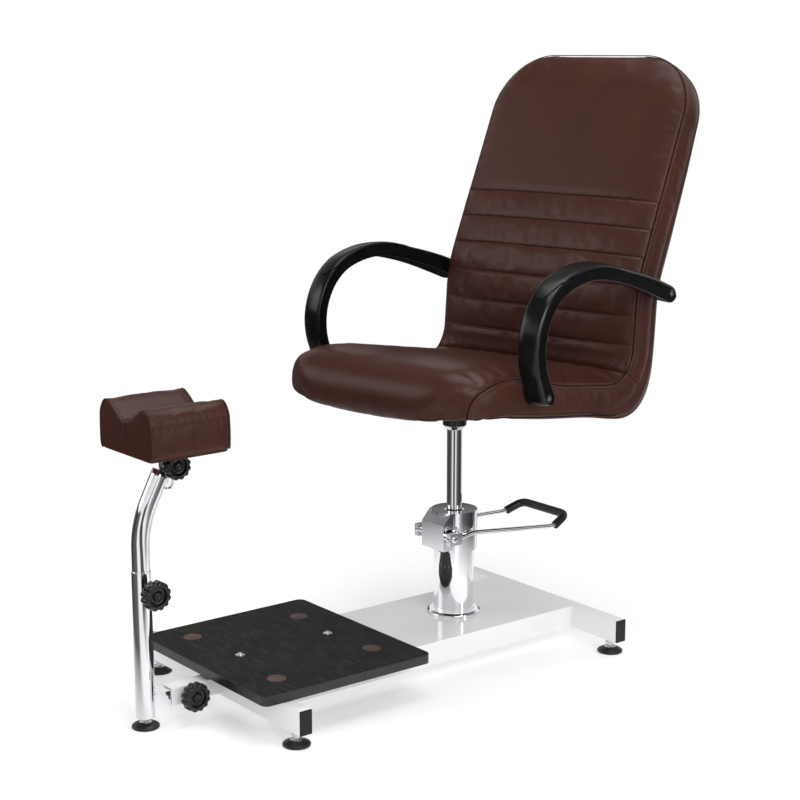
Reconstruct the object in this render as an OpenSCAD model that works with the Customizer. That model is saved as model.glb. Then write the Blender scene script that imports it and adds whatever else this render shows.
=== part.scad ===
// Hydraulic pedicure chair on a fixed base with a foot board and a leg rest.
// Millimetres, +Z up, the sitter looks along -Y, the floor is z = 0.
// The origin is the middle of the chair's plan on the floor.

/* [Placing] */
// Pump column axis, sideways from the middle of the plan
column_x = 20; // [-40:1:60]
// Pump column axis, behind the middle of the plan
column_y = 100; // [60:1:160]
// Angle to which the seat is turned on its column
seat_turn = 10.6; // [-40:0.1:40]

/* [Base frame] */
// Height of the top of the base frame above the floor
base_top = 72; // [66:1:100]
// Width of the long box beam
beam_w = 250; // [200:1:300]
// Height of the beam and of both cross bars
beam_h = 45; // [40:1:50]
// Wall of the beam and of the cross bars
beam_wall = 2; // [1.5:0.1:3]
// Beam end behind the column axis
beam_back = 210; // [180:1:260]
// Beam end in front of the column axis
beam_front = 535; // [500:1:560]
// Depth of the cross bars
bar_d = 25; // [22:1:40]
// Length of the rear cross bar
rear_bar_l = 500; // [420:1:560]
// Length of the front cross bar
front_bar_l = 521; // [440:1:580]
// Thickness of the head of a plastic bar end cap
cap_head = 3; // [2:0.5:5]
// Length of the plug of an end cap inside the bar
cap_plug = 12; // [8:1:20]

/* [Levelling feet] */
// Diameter of a foot pad
foot_d = 50; // [40:1:60]
// Height of a foot pad
foot_h = 12; // [9:0.5:14]
// Diameter of the threaded stud of a foot
foot_stud = 10; // [8:0.5:12]
// Distance of a foot from the end of its bar
foot_inset = 27; // [22:1:60]
// Across-flats size of the lock nut on a foot stud
lock_nut = 17; // [15:1:20]

/* [Foot board] */
// Width of the foot board
board_w = 420; // [380:1:460]
// Depth of the foot board
board_l = 370; // [340:1:400]
// Thickness of the foot board
board_t = 18; // [15:1:24]
// Front edge of the board in front of the column axis
board_front = 597; // [570:1:610]
// Corner radius of the board
board_corner = 14; // [6:1:30]
// Thickness of the plastic edging round the board
edging_t = 2; // [1:0.5:3]
// Diameter of a round anti-slip pad let into the board
grip_d = 35; // [25:1:45]
// Thickness of an anti-slip pad
grip_t = 4; // [3:0.5:6]
// Height that an anti-slip pad stands proud of the board
grip_proud = 0.6; // [0.3:0.1:1.5]
// Spacing of the two front anti-slip pads
grip_front_gap = 284; // [240:1:320]
// Spacing of the two rear anti-slip pads
grip_rear_gap = 236; // [200:1:320]
// Distance of the front pads from the board's front edge
grip_front_in = 71; // [50:1:100]
// Distance of the rear pads from the board's rear edge
grip_rear_in = 70; // [50:1:100]
// Shank diameter of a board screw
board_screw = 6; // [5:0.5:8]
// Distance of the board screws from the board's front and rear edges
screw_in = 86; // [60:1:120]

/* [Pump] */
// Outer diameter of the oil tank
tank_d = 80; // [70:1:90]
// Height of the tank above the beam
tank_h = 134; // [125:1:145]
// Outer diameter of the pump head
head_d = 92; // [84:1:100]
// Height of the pump head
head_h = 80; // [74:1:95]
// Width of the valve box on the front of the head
box_w = 68; // [60:1:76]
// Reach of the valve box in front of the column axis
box_reach = 55; // [52:1:62]
// Width of the chamfer on the top edge of the valve box
box_chamfer = 20; // [12:1:24]
// Diameter of the piston rod
rod_d = 30; // [26:0.5:32]
// Bore of the pump cylinder
bore_d = 36; // [34:0.5:38]
// Wall of the pump cylinder
bore_wall = 4; // [3:0.5:6]
// Length of bare rod between the pump head and the seat collar
rod_out = 162; // [140:1:180]
// Diameter of the cover ring at the foot of the column
ring_d = 106; // [98:1:116]
// Height of that cover ring
ring_h = 9; // [6:1:12]

/* [Pedal] */
// Pivot of the pedal in front of the column axis
pivot_y = 44; // [38:1:46]
// Height of the pedal pivot above the beam
pivot_h = 168; // [160:1:175]
// Diameter of the pedal pivot shaft
pivot_d = 14; // [12:0.5:16]
// Diameter of the pedal rod
pedal_rod_d = 9; // [8:0.5:11]
// Outer diameter of the rubber sleeve
sleeve_d = 17; // [14:0.5:20]
// Reach of the pedal behind the column axis
pedal_reach = 241; // [220:1:260]
// Half width of the pedal loop at its ends
pedal_half = 50; // [49:1:54]
// Half width of the pedal loop where it is widest
pedal_wide = 75; // [66:1:84]
// Half width of the tread bar
tread_half = 62; // [56:1:66]

/* [Seat and back] */
// Half width of the seat and back at the edge seam
seat_half = 243; // [220:1:260]
// Length of the straight run of the seat
seat_run = 300; // [280:1:330]
// Fall of the seat towards the back, degrees
seat_fall = 7.5; // [5:0.5:9]
// Radius of the front roll of the seat
nose_r = 50; // [46:1:60]
// Radius of the fold between seat and back
fold_r = 70; // [62:1:90]
// Lean of the lower back from upright, degrees
low_lean = 4.6; // [3:0.1:8]
// Lean of the upper back from upright, degrees
high_lean = 24.5; // [20:0.5:28]
// Length of the straight upper back
back_run = 434; // [390:1:460]
// Thickness of the foam over the shell
foam_t = 38; // [32:1:44]
// Thickness of the moulded plywood shell
shell_t = 12; // [10:1:15]
// Thickness of the padded cover behind and under the shell
cover_t = 10; // [8:1:14]
// Height of the crown of the seat foam
seat_crown = 34; // [16:1:36]
// Height of the crown of the back foam
back_crown = 13; // [6:1:18]
// Spacing of the sewn channels in the back
channel_pitch = 58; // [50:1:64]
// Depth of a sewn channel
channel_depth = 6; // [3:0.5:8]
// Radius of the rounded front corners of the seat
front_corner = 82; // [60:1:110]
// Radius of the rounded top corners of the back
top_corner = 128; // [100:1:150]

/* [Armrests] */
// Width of an armrest
arm_w = 47; // [42:1:52]
// Thickness of an armrest bar
arm_t = 27; // [24:1:30]
// Thickness of an armrest at its rear end
arm_rear_t = 34; // [31:1:38]
// Diameter of an armrest's lower end round its bolt
arm_low_d = 30; // [27:1:34]
// Fall of an armrest's section towards its outer edge
arm_fall = 5; // [0:0.5:8]
// Gap between the seat side and an armrest
arm_gap = 5; // [4.5:0.5:12]
// Thickness of the soft pad in an armrest
arm_pad_t = 6; // [4:0.5:8]

/* [Leg rest] */
// Post axis in front of the column axis
post_front = 712; // [705:1:730]
// Outer diameter of the lower post tube
post_d = 35; // [32:0.5:40]
// Height of the top of the lower post tube
post_top = 289; // [260:1:310]
// Wall of the lower post tube
post_wall = 1.2; // [1:0.1:2]
// Outer width of the square socket on the base
socket_w = 32; // [30:1:36]
// Wall of the socket
socket_wall = 3; // [2.5:0.5:4]
// Socket mouth in front of the column axis
socket_front = 666; // [650:1:676]
// Length of the socket tube
socket_l = 286; // [240:1:320]
// Length of the square arm that slides in the socket
slide_l = 330; // [300:1:340]
// Diameter of the clamp knobs
knob_d = 54; // [46:1:60]
// Depth of the clamp knobs
knob_t = 28; // [22:1:34]
// Diameter of the knob under the leg cushion
small_knob_d = 50; // [44:1:52]
// Length of the straight part of the upper tube above the lower one
bend_start = 41; // [38:1:60]
// Bend radius of the upper tube
bend_r = 180; // [150:1:220]
// Bend angle of the upper tube
bend_a = 27; // [22:1:30]
// Outer diameter of the sleeve that holds the cushion spindle
spindle_sleeve_d = 25; // [24:0.5:28]
// Diameter of the cushion spindle
spindle_d = 18; // [14:0.5:18.5]
// Width of the leg cushion
cushion_w = 178; // [160:1:200]
// Length of the leg cushion
cushion_l = 156; // [140:1:180]
// Height of the leg cushion at its two ridges
cushion_h = 92; // [80:1:110]
// Depth of the trough along the top of the leg cushion
trough_depth = 34; // [24:1:42]
// Thickness of the board inside the leg cushion
cushion_board_t = 12; // [9:1:15]

/* [Hidden] */
$fn = 48;
// Running clearance of a shaft in its bore
run = 0.06;
// Gap that keeps soft or square neighbours apart
gap = 0.3;

bar_z = base_top - beam_h;
beam_mid = base_top - beam_h / 2;
beam_in_w = beam_w - 2 * beam_wall;
bar_in_h = beam_h - 2 * beam_wall;
bar_in_d = bar_d - 2 * beam_wall;
rear_bar_y = beam_back + bar_d / 2;
front_bar_y = -beam_front - bar_d / 2;
rear_foot_x = rear_bar_l / 2 - foot_inset;
front_foot_x = front_bar_l / 2 - foot_inset;
nut_h = 8;
stud_hole = foot_stud + 0.4;

board_z = base_top;
board_top = board_z + board_t;
board_mid_y = -board_front + board_l / 2;
grip_bed = grip_t - grip_proud;
washer_d = 18;
washer_t = 1.5;

head_z = base_top + tank_h;
head_top = head_z + head_h;
tank_wall = 3;
tank_floor = 6;
gland_d = rod_d + 12;
gland_h = 20;
seal_h = 6;
cylinder_d = bore_d + 2 * bore_wall;
cylinder_z = base_top + tank_floor;
cylinder_top = head_top - gland_h - seal_h - 6;
piston_h = 16;
piston_z = head_z + 2;
collar_z = head_top + rod_out;
collar_h = 8;
spigot_d = rod_d - 2;
spigot_l = 40;
pump_bolt = 8;
pump_bolt_r = tank_d / 2 + 6.5;

pivot_z = base_top + pivot_h;
plunger_d = 8;
finger_reach = 14;
finger_hub = pivot_d + 3;
plunger_y = pivot_y - finger_reach;
plunger_top = pivot_z - 4 - gap;
plunger_l = 14;
spring_l = 12;

seat_z = collar_z + collar_h + spigot_l + 4;
socket_d = 47;
plate_t = 4;
plate_w = 200;
plate_l = 180;
layers = foam_t + shell_t + cover_t;
nose_start = 108;
nose_turn = 103;
brow_l = 90;
brow_turn = nose_start - nose_turn + seat_fall;
lumbar_l = 100;
low_run = 75;
nose_l = nose_r * nose_turn * PI / 180;
fold_turn = 90 - low_lean + seat_fall;
fold_l = fold_r * fold_turn * PI / 180;
// The side line of the seat and back: [length, turn] of each stretch
spine = [
    [nose_l, -nose_turn],
    [brow_l, -brow_turn],
    [seat_run, 0],
    [fold_l, fold_turn],
    [low_run, 0],
    [lumbar_l, -(high_lean - low_lean)],
    [back_run, 0]
];
run_s = nose_l + brow_l;
crease_s = run_s + seat_run + 0.54 * fold_l;
back_s = run_s + seat_run + fold_l;
top_s = back_s + low_run + lumbar_l + back_run;

arm_x = seat_half + arm_gap + arm_w / 2;
arm_bolt_d = 8;
arm_head_d = 15;
arm_head_deep = 7;

socket_in = socket_w - 2 * socket_wall;
slide_w = socket_in - 2 * gap;
slide_wall = 2;
post_z = 20;
upper_d = post_d - 2 * post_wall - 2 * run;
upper_wall = 1.5;
upper_in = 160;
knob_stud = 8;
boss_d = 18;
boss_l = 6;
post_knob_z = post_top - 33;
socket_knob_y = -socket_front + 34;
sleeve_y = -post_front + 55;
sleeve_z = 434;
cushion_z = 499;
recess_h = 6;
sleeve_top = cushion_z + recess_h - 3 - gap;
spindle_plate_t = 3;
small_knob_z = sleeve_top - 25;

function rad(a) = a * PI / 180;
// End of a stretch of length l that turns by a, from point p with heading h
function stretch(p, h, l, a) = abs(a) < 0.001
    ? [p + l * [cos(h), sin(h)], h]
    : let (r = l / rad(a)) [p + r * [sin(h + a) - sin(h), cos(h) - cos(h + a)], h + a];
// Point and heading at distance s along a list of stretches
function along(path, s, p, h, i = 0) =
    i == len(path) - 1 || s <= path[i][0]
        ? stretch(p, h, s, path[i][1] * s / path[i][0])
        : let (e = stretch(p, h, path[i][0], path[i][1])) along(path, s - path[i][0], e[0], e[1], i + 1);

// The side line starts so that its flat run passes over the seat plate
run_point = [-117, seat_z + (layers + 4) / cos(seat_fall) + 117 * tan(seat_fall)];
free_start = along(spine, run_s, [0, 0], nose_start);
spine_start = run_point - free_start[0];
function side(s) = along(spine, s, spine_start, nose_start);
// A point of the seat: x across, s along the side line, n above it
function seat_point(x, s, n) =
    let (e = side(s)) [x, e[0][0] - n * sin(e[1]), e[0][1] + n * cos(e[1])];

function span(a, b, n) = [for (i = [0 : n]) a + (b - a) * i / n];
// Half width at s: full, less the rounded front and top corners
function round_in(d, r) = d >= r ? 0 : r - sqrt(max(0, r * r - (r - d) * (r - d)));
front_s = nose_r * rad(nose_start - 90);
front_y = side(front_s)[0][0];
function half_at(s) =
    let (ahead = s < front_s ? 0 : s < run_s ? side(s)[0][0] - front_y : front_corner, back = top_s - s)
    seat_half - round_in(max(0, ahead), front_corner) - round_in(back, top_corner);

// Half width by distance behind the front edge, which rounds the front corners
function half_behind(y) = seat_half - round_in(max(0, y - front_y), front_corner);

// A closed skin over rings of equal length; the ring is m top points, two right, m under, two left
function ring_faces(rings, k) = [
    for (r = [0 : rings - 2], i = [0 : k - 1])
        let (a = r * k + i, b = r * k + (i + 1) % k, c = a + k, d = b + k)
        each [[a, d, b], [a, c, d]]
];
function cap_faces(o, m, k, flip) =
    let (
        top = [for (i = [0 : m - 1]) o + i],
        low = [for (i = [0 : m - 1]) o + 2 * m + 1 - i],
        right = [[top[m - 1], o + m, o + m + 1], [top[m - 1], o + m + 1, low[m - 1]]],
        left = [[top[0], low[0], o + k - 2], [top[0], o + k - 2, o + k - 1]],
        strip = [for (i = [0 : m - 2]) each [[top[i], top[i + 1], low[i + 1]], [top[i], low[i + 1], low[i]]]],
        all = concat(right, left, strip)
    )
    flip ? [for (f = all) [f[2], f[1], f[0]]] : all;
module skin(rings, m) {
    k = len(rings[0]);
    n = len(rings);
    polyhedron(
        points = [for (r = rings) each r],
        faces = concat(
            ring_faces(n, k),
            cap_faces(0, m, k, false),
            cap_faces((n - 1) * k, m, k, true)
        ),
        convexity = 6
    );
}

// Across positions of the top of a cushion ring, as shares of its half width
across = [-1, -0.965, -0.88, -0.7, -0.4, 0, 0.4, 0.7, 0.88, 0.965, 1];
side_bulge = 4;
lip_w = 14;
// One ring of an upholstered pad: crowned top, drawn-in edge, lip round the shell
function pad_ring(s, crown, sink, under, lip, full = 5) =
    let (
        w = half_at(s),
        in_x = w - lip_w,
        top = [for (u = across) seat_point(u * w, s, (crown - sink) * (1 - pow(abs(u), full)) - 0.3 * sink)],
        under_x = [-w, -in_x, -in_x, -0.55 * w, -0.28 * w, 0, 0.28 * w, 0.55 * w, in_x, in_x, w],
        under_n = [lip, lip, under, under, under, under, under, under, under, lip, lip],
        low = [for (i = [10 : -1 : 0]) seat_point(under_x[i], s, -under_n[i])]
    )
    concat(
        top,
        [seat_point(w + side_bulge, s, -0.35 * lip), seat_point(w + side_bulge, s, -0.7 * lip)],
        low,
        [seat_point(-w - side_bulge, s, -0.7 * lip), seat_point(-w - side_bulge, s, -0.35 * lip)]
    );

// Fullness of the seat's edge: a high power carries the crown out to the seam
seat_full = 10;
// Depth of the front roll where it ends against the shell, and how far its underside rises at the corners
roll_depth = foam_t + shell_t + 2;
roll_rise = 13;
roll_under = [-1, -0.96, -0.92, -0.55, -0.28, 0, 0.28, 0.55, 0.92, 0.96, 1];
// One ring of the front roll: every ring closes on the line where the roll ends
function roll_ring(s, crown) =
    let (
        w = half_at(s),
        p = side(s)[0],
        e = seat_point(0, nose_l, -roll_depth),
        way = [e[1] - p[0], e[2] - p[1]],
        lift = roll_rise * (1 - s / nose_l),
        up = function (x, v) lift * (1 - v) * pow(x / seat_half, 2),
        flank = [
            for (v = [0.35, 0.7]) let (x = half_behind(p[0] + v * way[0]) + side_bulge)
                [x, p + v * way + [0, up(x, v)]]
        ],
        under = p + 0.97 * way,
        low_w = half_at(nose_l)
    )
    concat(
        [
            for (u = across)
                seat_point(u * w, s, crown * (1 - pow(abs(u), seat_full))) + [0, 0, up(u * w, 0)]
        ],
        [for (q = flank) [q[0], q[1][0], q[1][1]]],
        [for (i = [10 : -1 : 0]) [roll_under[i] * low_w, under[0], under[1]]],
        [for (i = [1, 0]) [-flank[i][0], flank[i][1][0], flank[i][1][1]]]
    );

// Bent bar of one section: steps are [length, 0, drawn] or [radius, turn, drawn]
module bent_bar(steps, i = 0) {
    if (i < len(steps)) {
        size = steps[i][0];
        turn = steps[i][1];
        if (turn == 0) {
            if (steps[i][2]) linear_extrude(height = size) children();
            translate([0, 0, size]) bent_bar(steps, i + 1) children();
        } else {
            if (steps[i][2])
                translate([size, 0, 0]) rotate([90, 0, 180]) rotate_extrude(angle = turn, $fn = 96)
                    translate([size, 0]) mirror([1, 0]) children();
            translate([size, 0, 0]) rotate([0, turn, 0]) translate([-size, 0, 0])
                bent_bar(steps, i + 1) children();
        }
    }
}
// Puts a bent bar's start at a point of the YZ plane, heading h from +Y towards +Z
module in_side_plane(x, y, z, h) {
    translate([x, y, z]) rotate([h - 90, 0, 0]) rotate([0, 0, 90]) children();
}
module rounded_square(w, h, r) {
    square([w - 2 * r, h], center = true);
    square([w, h - 2 * r], center = true);
    for (x = [-1, 1], y = [-1, 1]) translate([x * (w / 2 - r), y * (h / 2 - r)]) circle(r = r, $fn = 32);
}
// A closed skin over convex rings that run clockwise as seen along the path
module loft(rings) {
    k = len(rings[0]);
    o = (len(rings) - 1) * k;
    polyhedron(
        points = [for (r = rings) each r],
        faces = concat(
            ring_faces(len(rings), k),
            [for (i = [1 : k - 2]) [0, i, i + 1]],
            [for (i = [1 : k - 2]) [o, o + i + 1, o + i]]
        ),
        convexity = 6
    );
}
// Points and directions along a bent wire whose corners are rounded off
function wire(p, bend) = concat(
    [[p[0], p[1] - p[0]]],
    [for (i = [1 : len(p) - 2])
        let (
            u = (p[i - 1] - p[i]) / norm(p[i - 1] - p[i]),
            v = (p[i + 1] - p[i]) / norm(p[i + 1] - p[i]),
            d = min(bend, 0.45 * norm(p[i - 1] - p[i]), 0.45 * norm(p[i + 1] - p[i]))
        )
        for (t = [0 : 0.25 : 1])
            [p[i] + d * ((1 - t) * (1 - t) * u + t * t * v), (t - 1) * u + t * v]
    ],
    [[p[len(p) - 1], p[len(p) - 1] - p[len(p) - 2]]]
);
function wire_ring(w, d, n) =
    let (t = w[1] / norm(w[1]), c = cross(t, [0, 0, 1]), x = c / norm(c), z = cross(x, t))
    [for (i = [0 : n - 1]) w[0] + d / 2 * (cos(-360 * i / n) * x + sin(-360 * i / n) * z)];
module bent_wire(p, bend, d, n) { loft([for (w = wire(p, bend)) wire_ring(w, d, n)]); }
module tube_x(d, l) { rotate([0, 90, 0]) cylinder(d = d, h = l); }
module at_column() { translate([column_x, column_y, 0]) children(); }
module at_seat() { at_column() rotate([0, 0, seat_turn]) children(); }
module mirrored(side) { if (side < 0) mirror([1, 0, 0]) children(); else children(); }

// ---- Base frame ----
module base_beam() {
    color("white") at_column() difference() {
        translate([-beam_w / 2, -beam_front, bar_z]) cube([beam_w, beam_front + beam_back, beam_h]);
        translate([-beam_in_w / 2, -beam_front - 1, bar_z + beam_wall])
            cube([beam_in_w, beam_front + beam_back + 2, bar_in_h]);
        for (y = [screw_in - board_front, board_l - board_front - screw_in])
            translate([0, y, base_top - beam_wall - 1]) cylinder(d = board_screw + 0.2, h = beam_wall + 2);
        for (a = [45 : 90 : 315])
            rotate([0, 0, a]) translate([pump_bolt_r, 0, base_top - beam_wall - 1])
                cylinder(d = pump_bolt + 0.4, h = beam_wall + 2);
    }
}
module cross_bar(y, l, foot_x) {
    at_column() translate([0, y, bar_z]) difference() {
        translate([-l / 2, -bar_d / 2, 0]) cube([l, bar_d, beam_h]);
        translate([-l / 2 - 1, -bar_in_d / 2, beam_wall]) cube([l + 2, bar_in_d, bar_in_h]);
        for (x = [-foot_x, foot_x]) translate([x, 0, -1]) cylinder(d = stud_hole, h = beam_wall + 2);
        children();
    }
}
module rear_bar() { color("white") cross_bar(rear_bar_y, rear_bar_l, rear_foot_x) union() {} }
module front_bar() {
    color("white") cross_bar(front_bar_y, front_bar_l, front_foot_x)
        translate([-socket_w / 2, -bar_d, (beam_h - socket_w) / 2]) cube([socket_w, 2 * bar_d, socket_w]);
}
module end_cap() {
    wall = 2;
    translate([0, -bar_d / 2, 0]) cube([cap_head, bar_d, beam_h]);
    translate([-cap_plug, 0, 0]) difference() {
        translate([0, -bar_in_d / 2, beam_wall]) cube([cap_plug, bar_in_d, bar_in_h]);
        translate([-1, -bar_in_d / 2 + wall, beam_wall + wall])
            cube([cap_plug + 1, bar_in_d - 2 * wall, bar_in_h - 2 * wall]);
    }
}
module bar_end_caps() {
    color("#1c1c1c") at_column()
        for (bar = [[rear_bar_y, rear_bar_l], [front_bar_y, front_bar_l]], side = [-1, 1])
            mirrored(side) translate([bar[1] / 2, bar[0], bar_z]) end_cap();
}
module knob_boss(x) { translate([x, 0, 0]) tube_x(boss_d, boss_l); }
module leg_socket() {
    color("white") at_column() translate([0, 0, beam_mid]) difference() {
        union() {
            translate([-socket_w / 2, -socket_front, -socket_w / 2]) cube([socket_w, socket_l, socket_w]);
            translate([0, socket_knob_y, 0]) knob_boss(socket_w / 2);
        }
        translate([-socket_in / 2, -socket_front - 1, -socket_in / 2]) cube([socket_in, socket_l + 2, socket_in]);
        translate([socket_in / 2 - 1, socket_knob_y, 0]) tube_x(knob_stud + 2 * run, socket_wall + boss_l + 2);
    }
}
module lock_nut_at(x, y) {
    translate([x, y, bar_z - nut_h]) difference() {
        cylinder(d = lock_nut / cos(30), h = nut_h, $fn = 6);
        translate([0, 0, -1]) cylinder(d = foot_stud + 2 * run, h = nut_h + 2);
    }
}
module foot_lock_nuts() {
    color("silver") at_column() for (side = [-1, 1]) {
        lock_nut_at(side * rear_foot_x, rear_bar_y);
        lock_nut_at(side * front_foot_x, front_bar_y);
    }
}
module levelling_foot(stud_top) {
    rotate_extrude() polygon([
        [0, 0], [foot_d / 2 - 1, 0], [foot_d / 2, 1], [foot_d / 2, 4], [foot_d / 2 - 2, 6],
        [foot_d * 0.3, foot_h - 2], [foot_d * 0.22, foot_h], [0, foot_h]
    ]);
    translate([0, 0, foot_h - 1]) cylinder(d = foot_stud, h = stud_top - foot_h + 1);
}
foot_stud_top = base_top - 16;
module frame_foot(x, y) { color("#181818") at_column() translate([x, y, 0]) levelling_foot(foot_stud_top); }
module rear_left_foot() { frame_foot(rear_foot_x, rear_bar_y); }
module rear_right_foot() { frame_foot(-rear_foot_x, rear_bar_y); }
module front_left_foot() { frame_foot(front_foot_x, front_bar_y); }
module front_right_foot() { frame_foot(-front_foot_x, front_bar_y); }

// ---- Foot board ----
function grip_places() = [
    for (side = [-1, 1]) each [
        [side * grip_front_gap / 2, grip_front_in - board_front],
        [side * grip_rear_gap / 2, board_l - board_front - grip_rear_in]
    ]
];
module board_outline(inset) {
    rounded_square(board_w - 2 * inset, board_l - 2 * inset, board_corner - inset);
}
module foot_board() {
    color("#202020") at_column() difference() {
        translate([0, board_mid_y, board_z]) linear_extrude(height = board_t) board_outline(edging_t);
        for (p = grip_places()) translate([p[0], p[1], board_top - grip_bed]) cylinder(d = grip_d, h = board_t);
        for (y = [screw_in, board_l - screw_in])
            translate([0, y - board_front, board_z - 1]) cylinder(d = board_screw + 0.4, h = board_t + 2);
    }
}
module board_edging() {
    color("#2d2d2d") at_column() translate([0, board_mid_y, board_z]) linear_extrude(height = board_t)
        difference() {
            board_outline(0);
            board_outline(edging_t);
        }
}
module grip_pads() {
    color("#6b4a45") at_column() for (p = grip_places())
        translate([p[0], p[1], board_top - grip_bed]) cylinder(d = grip_d, h = grip_t);
}
module board_screws() {
    color("silver") at_column() for (y = [screw_in, board_l - screw_in]) translate([0, y - board_front, 0]) {
        translate([0, 0, board_top]) cylinder(d = washer_d, h = washer_t);
        translate([0, 0, board_top + washer_t]) difference() {
            cylinder(d1 = 12, d2 = 8, h = 3);
            for (a = [0, 90]) rotate([0, 0, a]) translate([-2.5, -0.6, 1.5]) cube([5, 1.2, 2]);
        }
        translate([0, 0, base_top - 5]) cylinder(d = board_screw, h = board_top - base_top + 5);
    }
}

// ---- Pump ----
module column_ring() {
    color("silver") at_column() translate([0, 0, base_top]) difference() {
        rotate_extrude($fn = 96) polygon([
            [tank_d / 2, 0], [ring_d / 2, 0], [ring_d / 2, ring_h - 4], [ring_d / 2 - 4, ring_h], [tank_d / 2, ring_h]
        ]);
        for (a = [45 : 90 : 315]) rotate([0, 0, a]) translate([pump_bolt_r, 0, -1])
            cylinder(d = pump_bolt, h = ring_h - 2);
    }
}
module pump_bolts() {
    color("silver") at_column() for (a = [45 : 90 : 315]) rotate([0, 0, a])
        translate([pump_bolt_r, 0, base_top - beam_wall - 6]) {
            cylinder(d = 13, h = 6, $fn = 6);
            cylinder(d = pump_bolt, h = 6 + beam_wall + ring_h - 3);
        }
}
module oil_tank() {
    color("silver") at_column() translate([0, 0, base_top]) difference() {
        cylinder(d = tank_d, h = tank_h, $fn = 96);
        translate([0, 0, tank_floor]) cylinder(d = tank_d - 2 * tank_wall, h = tank_h, $fn = 96);
    }
}
module pump_cylinder() {
    color("silver") at_column() difference() {
        translate([0, 0, cylinder_z]) cylinder(d = cylinder_d, h = cylinder_top - cylinder_z);
        translate([0, 0, cylinder_z + 5]) cylinder(d = bore_d, h = cylinder_top);
    }
}
module pump_head() {
    color("silver") at_column() difference() {
        union() {
            translate([0, 0, head_z]) cylinder(d = head_d, h = head_h, $fn = 96);
            rotate([90, 0, 90]) translate([0, 0, -box_w / 2]) linear_extrude(height = box_w) polygon([
                [0, head_z + 6], [-box_reach, head_z + 6], [-box_reach, head_top - box_chamfer - 2],
                [-box_reach + box_chamfer, head_top], [0, head_top]
            ]);
        }
        translate([0, 0, head_z - 1]) cylinder(d = cylinder_d, h = cylinder_top - head_z + 1);
        translate([0, 0, cylinder_top - 1]) cylinder(d = rod_d + 2, h = head_h);
        translate([0, 0, head_top - gland_h - seal_h]) cylinder(d = gland_d, h = head_h);
        translate([-box_w / 2 - 1, -pivot_y, pivot_z]) tube_x(pivot_d + 2 * run, box_w + 2);
        lever_pocket();
        translate([0, -plunger_y, plunger_top - plunger_l - spring_l]) cylinder(d = plunger_d + 2 * run, h = 60);
        translate([0, head_d / 2 - 14, head_z + 16]) rotate([-90, 0, 0]) cylinder(d = 8, h = 30);
    }
}
// Room inside the valve box for the finger on the pivot shaft
module lever_pocket() {
    front = pivot_y + finger_hub / 2 + 0.5;
    low = plunger_top - 15;
    translate([-7, -front, low]) cube([14, front - cylinder_d / 2 - 2, pivot_z + finger_hub / 2 + 1 - low]);
}
module gland_nut() {
    color("silver") at_column() translate([0, 0, head_top - gland_h]) difference() {
        union() {
            cylinder(d = gland_d, h = gland_h);
            translate([0, 0, gland_h]) cylinder(d1 = gland_d - 1, d2 = gland_d - 5, h = 2);
        }
        translate([0, 0, -1]) cylinder(d = rod_d + 2 * run, h = gland_h + 4);
    }
}
module rod_seal() {
    color("#222222") at_column() translate([0, 0, head_top - gland_h - seal_h]) difference() {
        cylinder(d = gland_d, h = seal_h);
        translate([0, 0, -1]) cylinder(d = rod_d + 2 * run, h = seal_h + 2);
    }
}
module release_valve() {
    color("silver") at_column() translate([0, head_d / 2, head_z + 16]) rotate([-90, 0, 0]) {
        translate([0, 0, -14]) cylinder(d = 8, h = 14);
        cylinder(d = 13, h = 8, $fn = 6);
        translate([0, 0, 8]) cylinder(d = 8, h = 2);
    }
}
module pump_plunger() {
    color("silver") at_column() translate([0, -plunger_y, plunger_top - plunger_l]) {
        cylinder(d = plunger_d, h = plunger_l - 4);
        translate([0, 0, plunger_l - 4]) cylinder(d1 = plunger_d, d2 = plunger_d / 2, h = 4);
    }
}
module plunger_spring() {
    color("silver") at_column() translate([0, -plunger_y, plunger_top - plunger_l - spring_l + gap])
        difference() {
            cylinder(d = plunger_d - 0.6, h = spring_l - 2 * gap);
            translate([0, 0, -1]) cylinder(d = plunger_d - 3.4, h = spring_l + 2);
        }
}

// ---- Pedal ----
boss_w = 12;
boss_x = pedal_half - boss_w / 2;
module pivot_shaft() {
    color("silver") at_column() translate([0, -pivot_y, pivot_z]) difference() {
        union() {
            translate([-pedal_half - boss_w / 2, 0, 0]) tube_x(pivot_d, 2 * pedal_half + boss_w);
            for (side = [-1, 1]) scale([side, 1, 1])
                translate([pedal_half + boss_w / 2, 0, 0]) rotate([0, 90, 0]) cylinder(d1 = pivot_d, d2 = 8, h = 2);
        }
        for (side = [-1, 1]) translate([side * pedal_half, 0, 0]) rotate([90, 0, 0])
            cylinder(d = pedal_rod_d, h = 40, center = true);
    }
}
module lever_finger() {
    color("silver") at_column() translate([0, -pivot_y, pivot_z]) difference() {
        union() {
            translate([-5, 0, 0]) tube_x(finger_hub, 10);
            translate([-5, 0, -4]) cube([10, finger_reach + plunger_d / 2, 8]);
        }
        translate([-6, 0, 0]) tube_x(pivot_d, 12);
    }
}
module pedal_clamps() {
    color("silver") at_column() for (side = [-1, 1]) mirrored(side)
        translate([pedal_half, -pivot_y, pivot_z]) difference() {
            union() {
                translate([-boss_w / 2, -12, -12]) cube([boss_w, 30, 24]);
                translate([0, 11, 12]) cylinder(d = 7, h = 4);
            }
            translate([-boss_w, 0, 0]) tube_x(pivot_d, 2 * boss_w);
            rotate([90, 0, 0]) cylinder(d = pedal_rod_d, h = 80, center = true);
        }
}
pedal_side = [
    [pedal_half, -pivot_y - 12, pivot_z],
    [pedal_half, -pivot_y + 24, pivot_z],
    [pedal_half + 2, 6, pivot_z + 6],
    [pedal_wide, 203, pivot_z - 9],
    [tread_half, pedal_reach, pivot_z + 7]
];
pedal_bend = 16;
sleeve_side = [pedal_side[3] + 0.4 * (pedal_side[4] - pedal_side[3]), pedal_side[4]];
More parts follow.
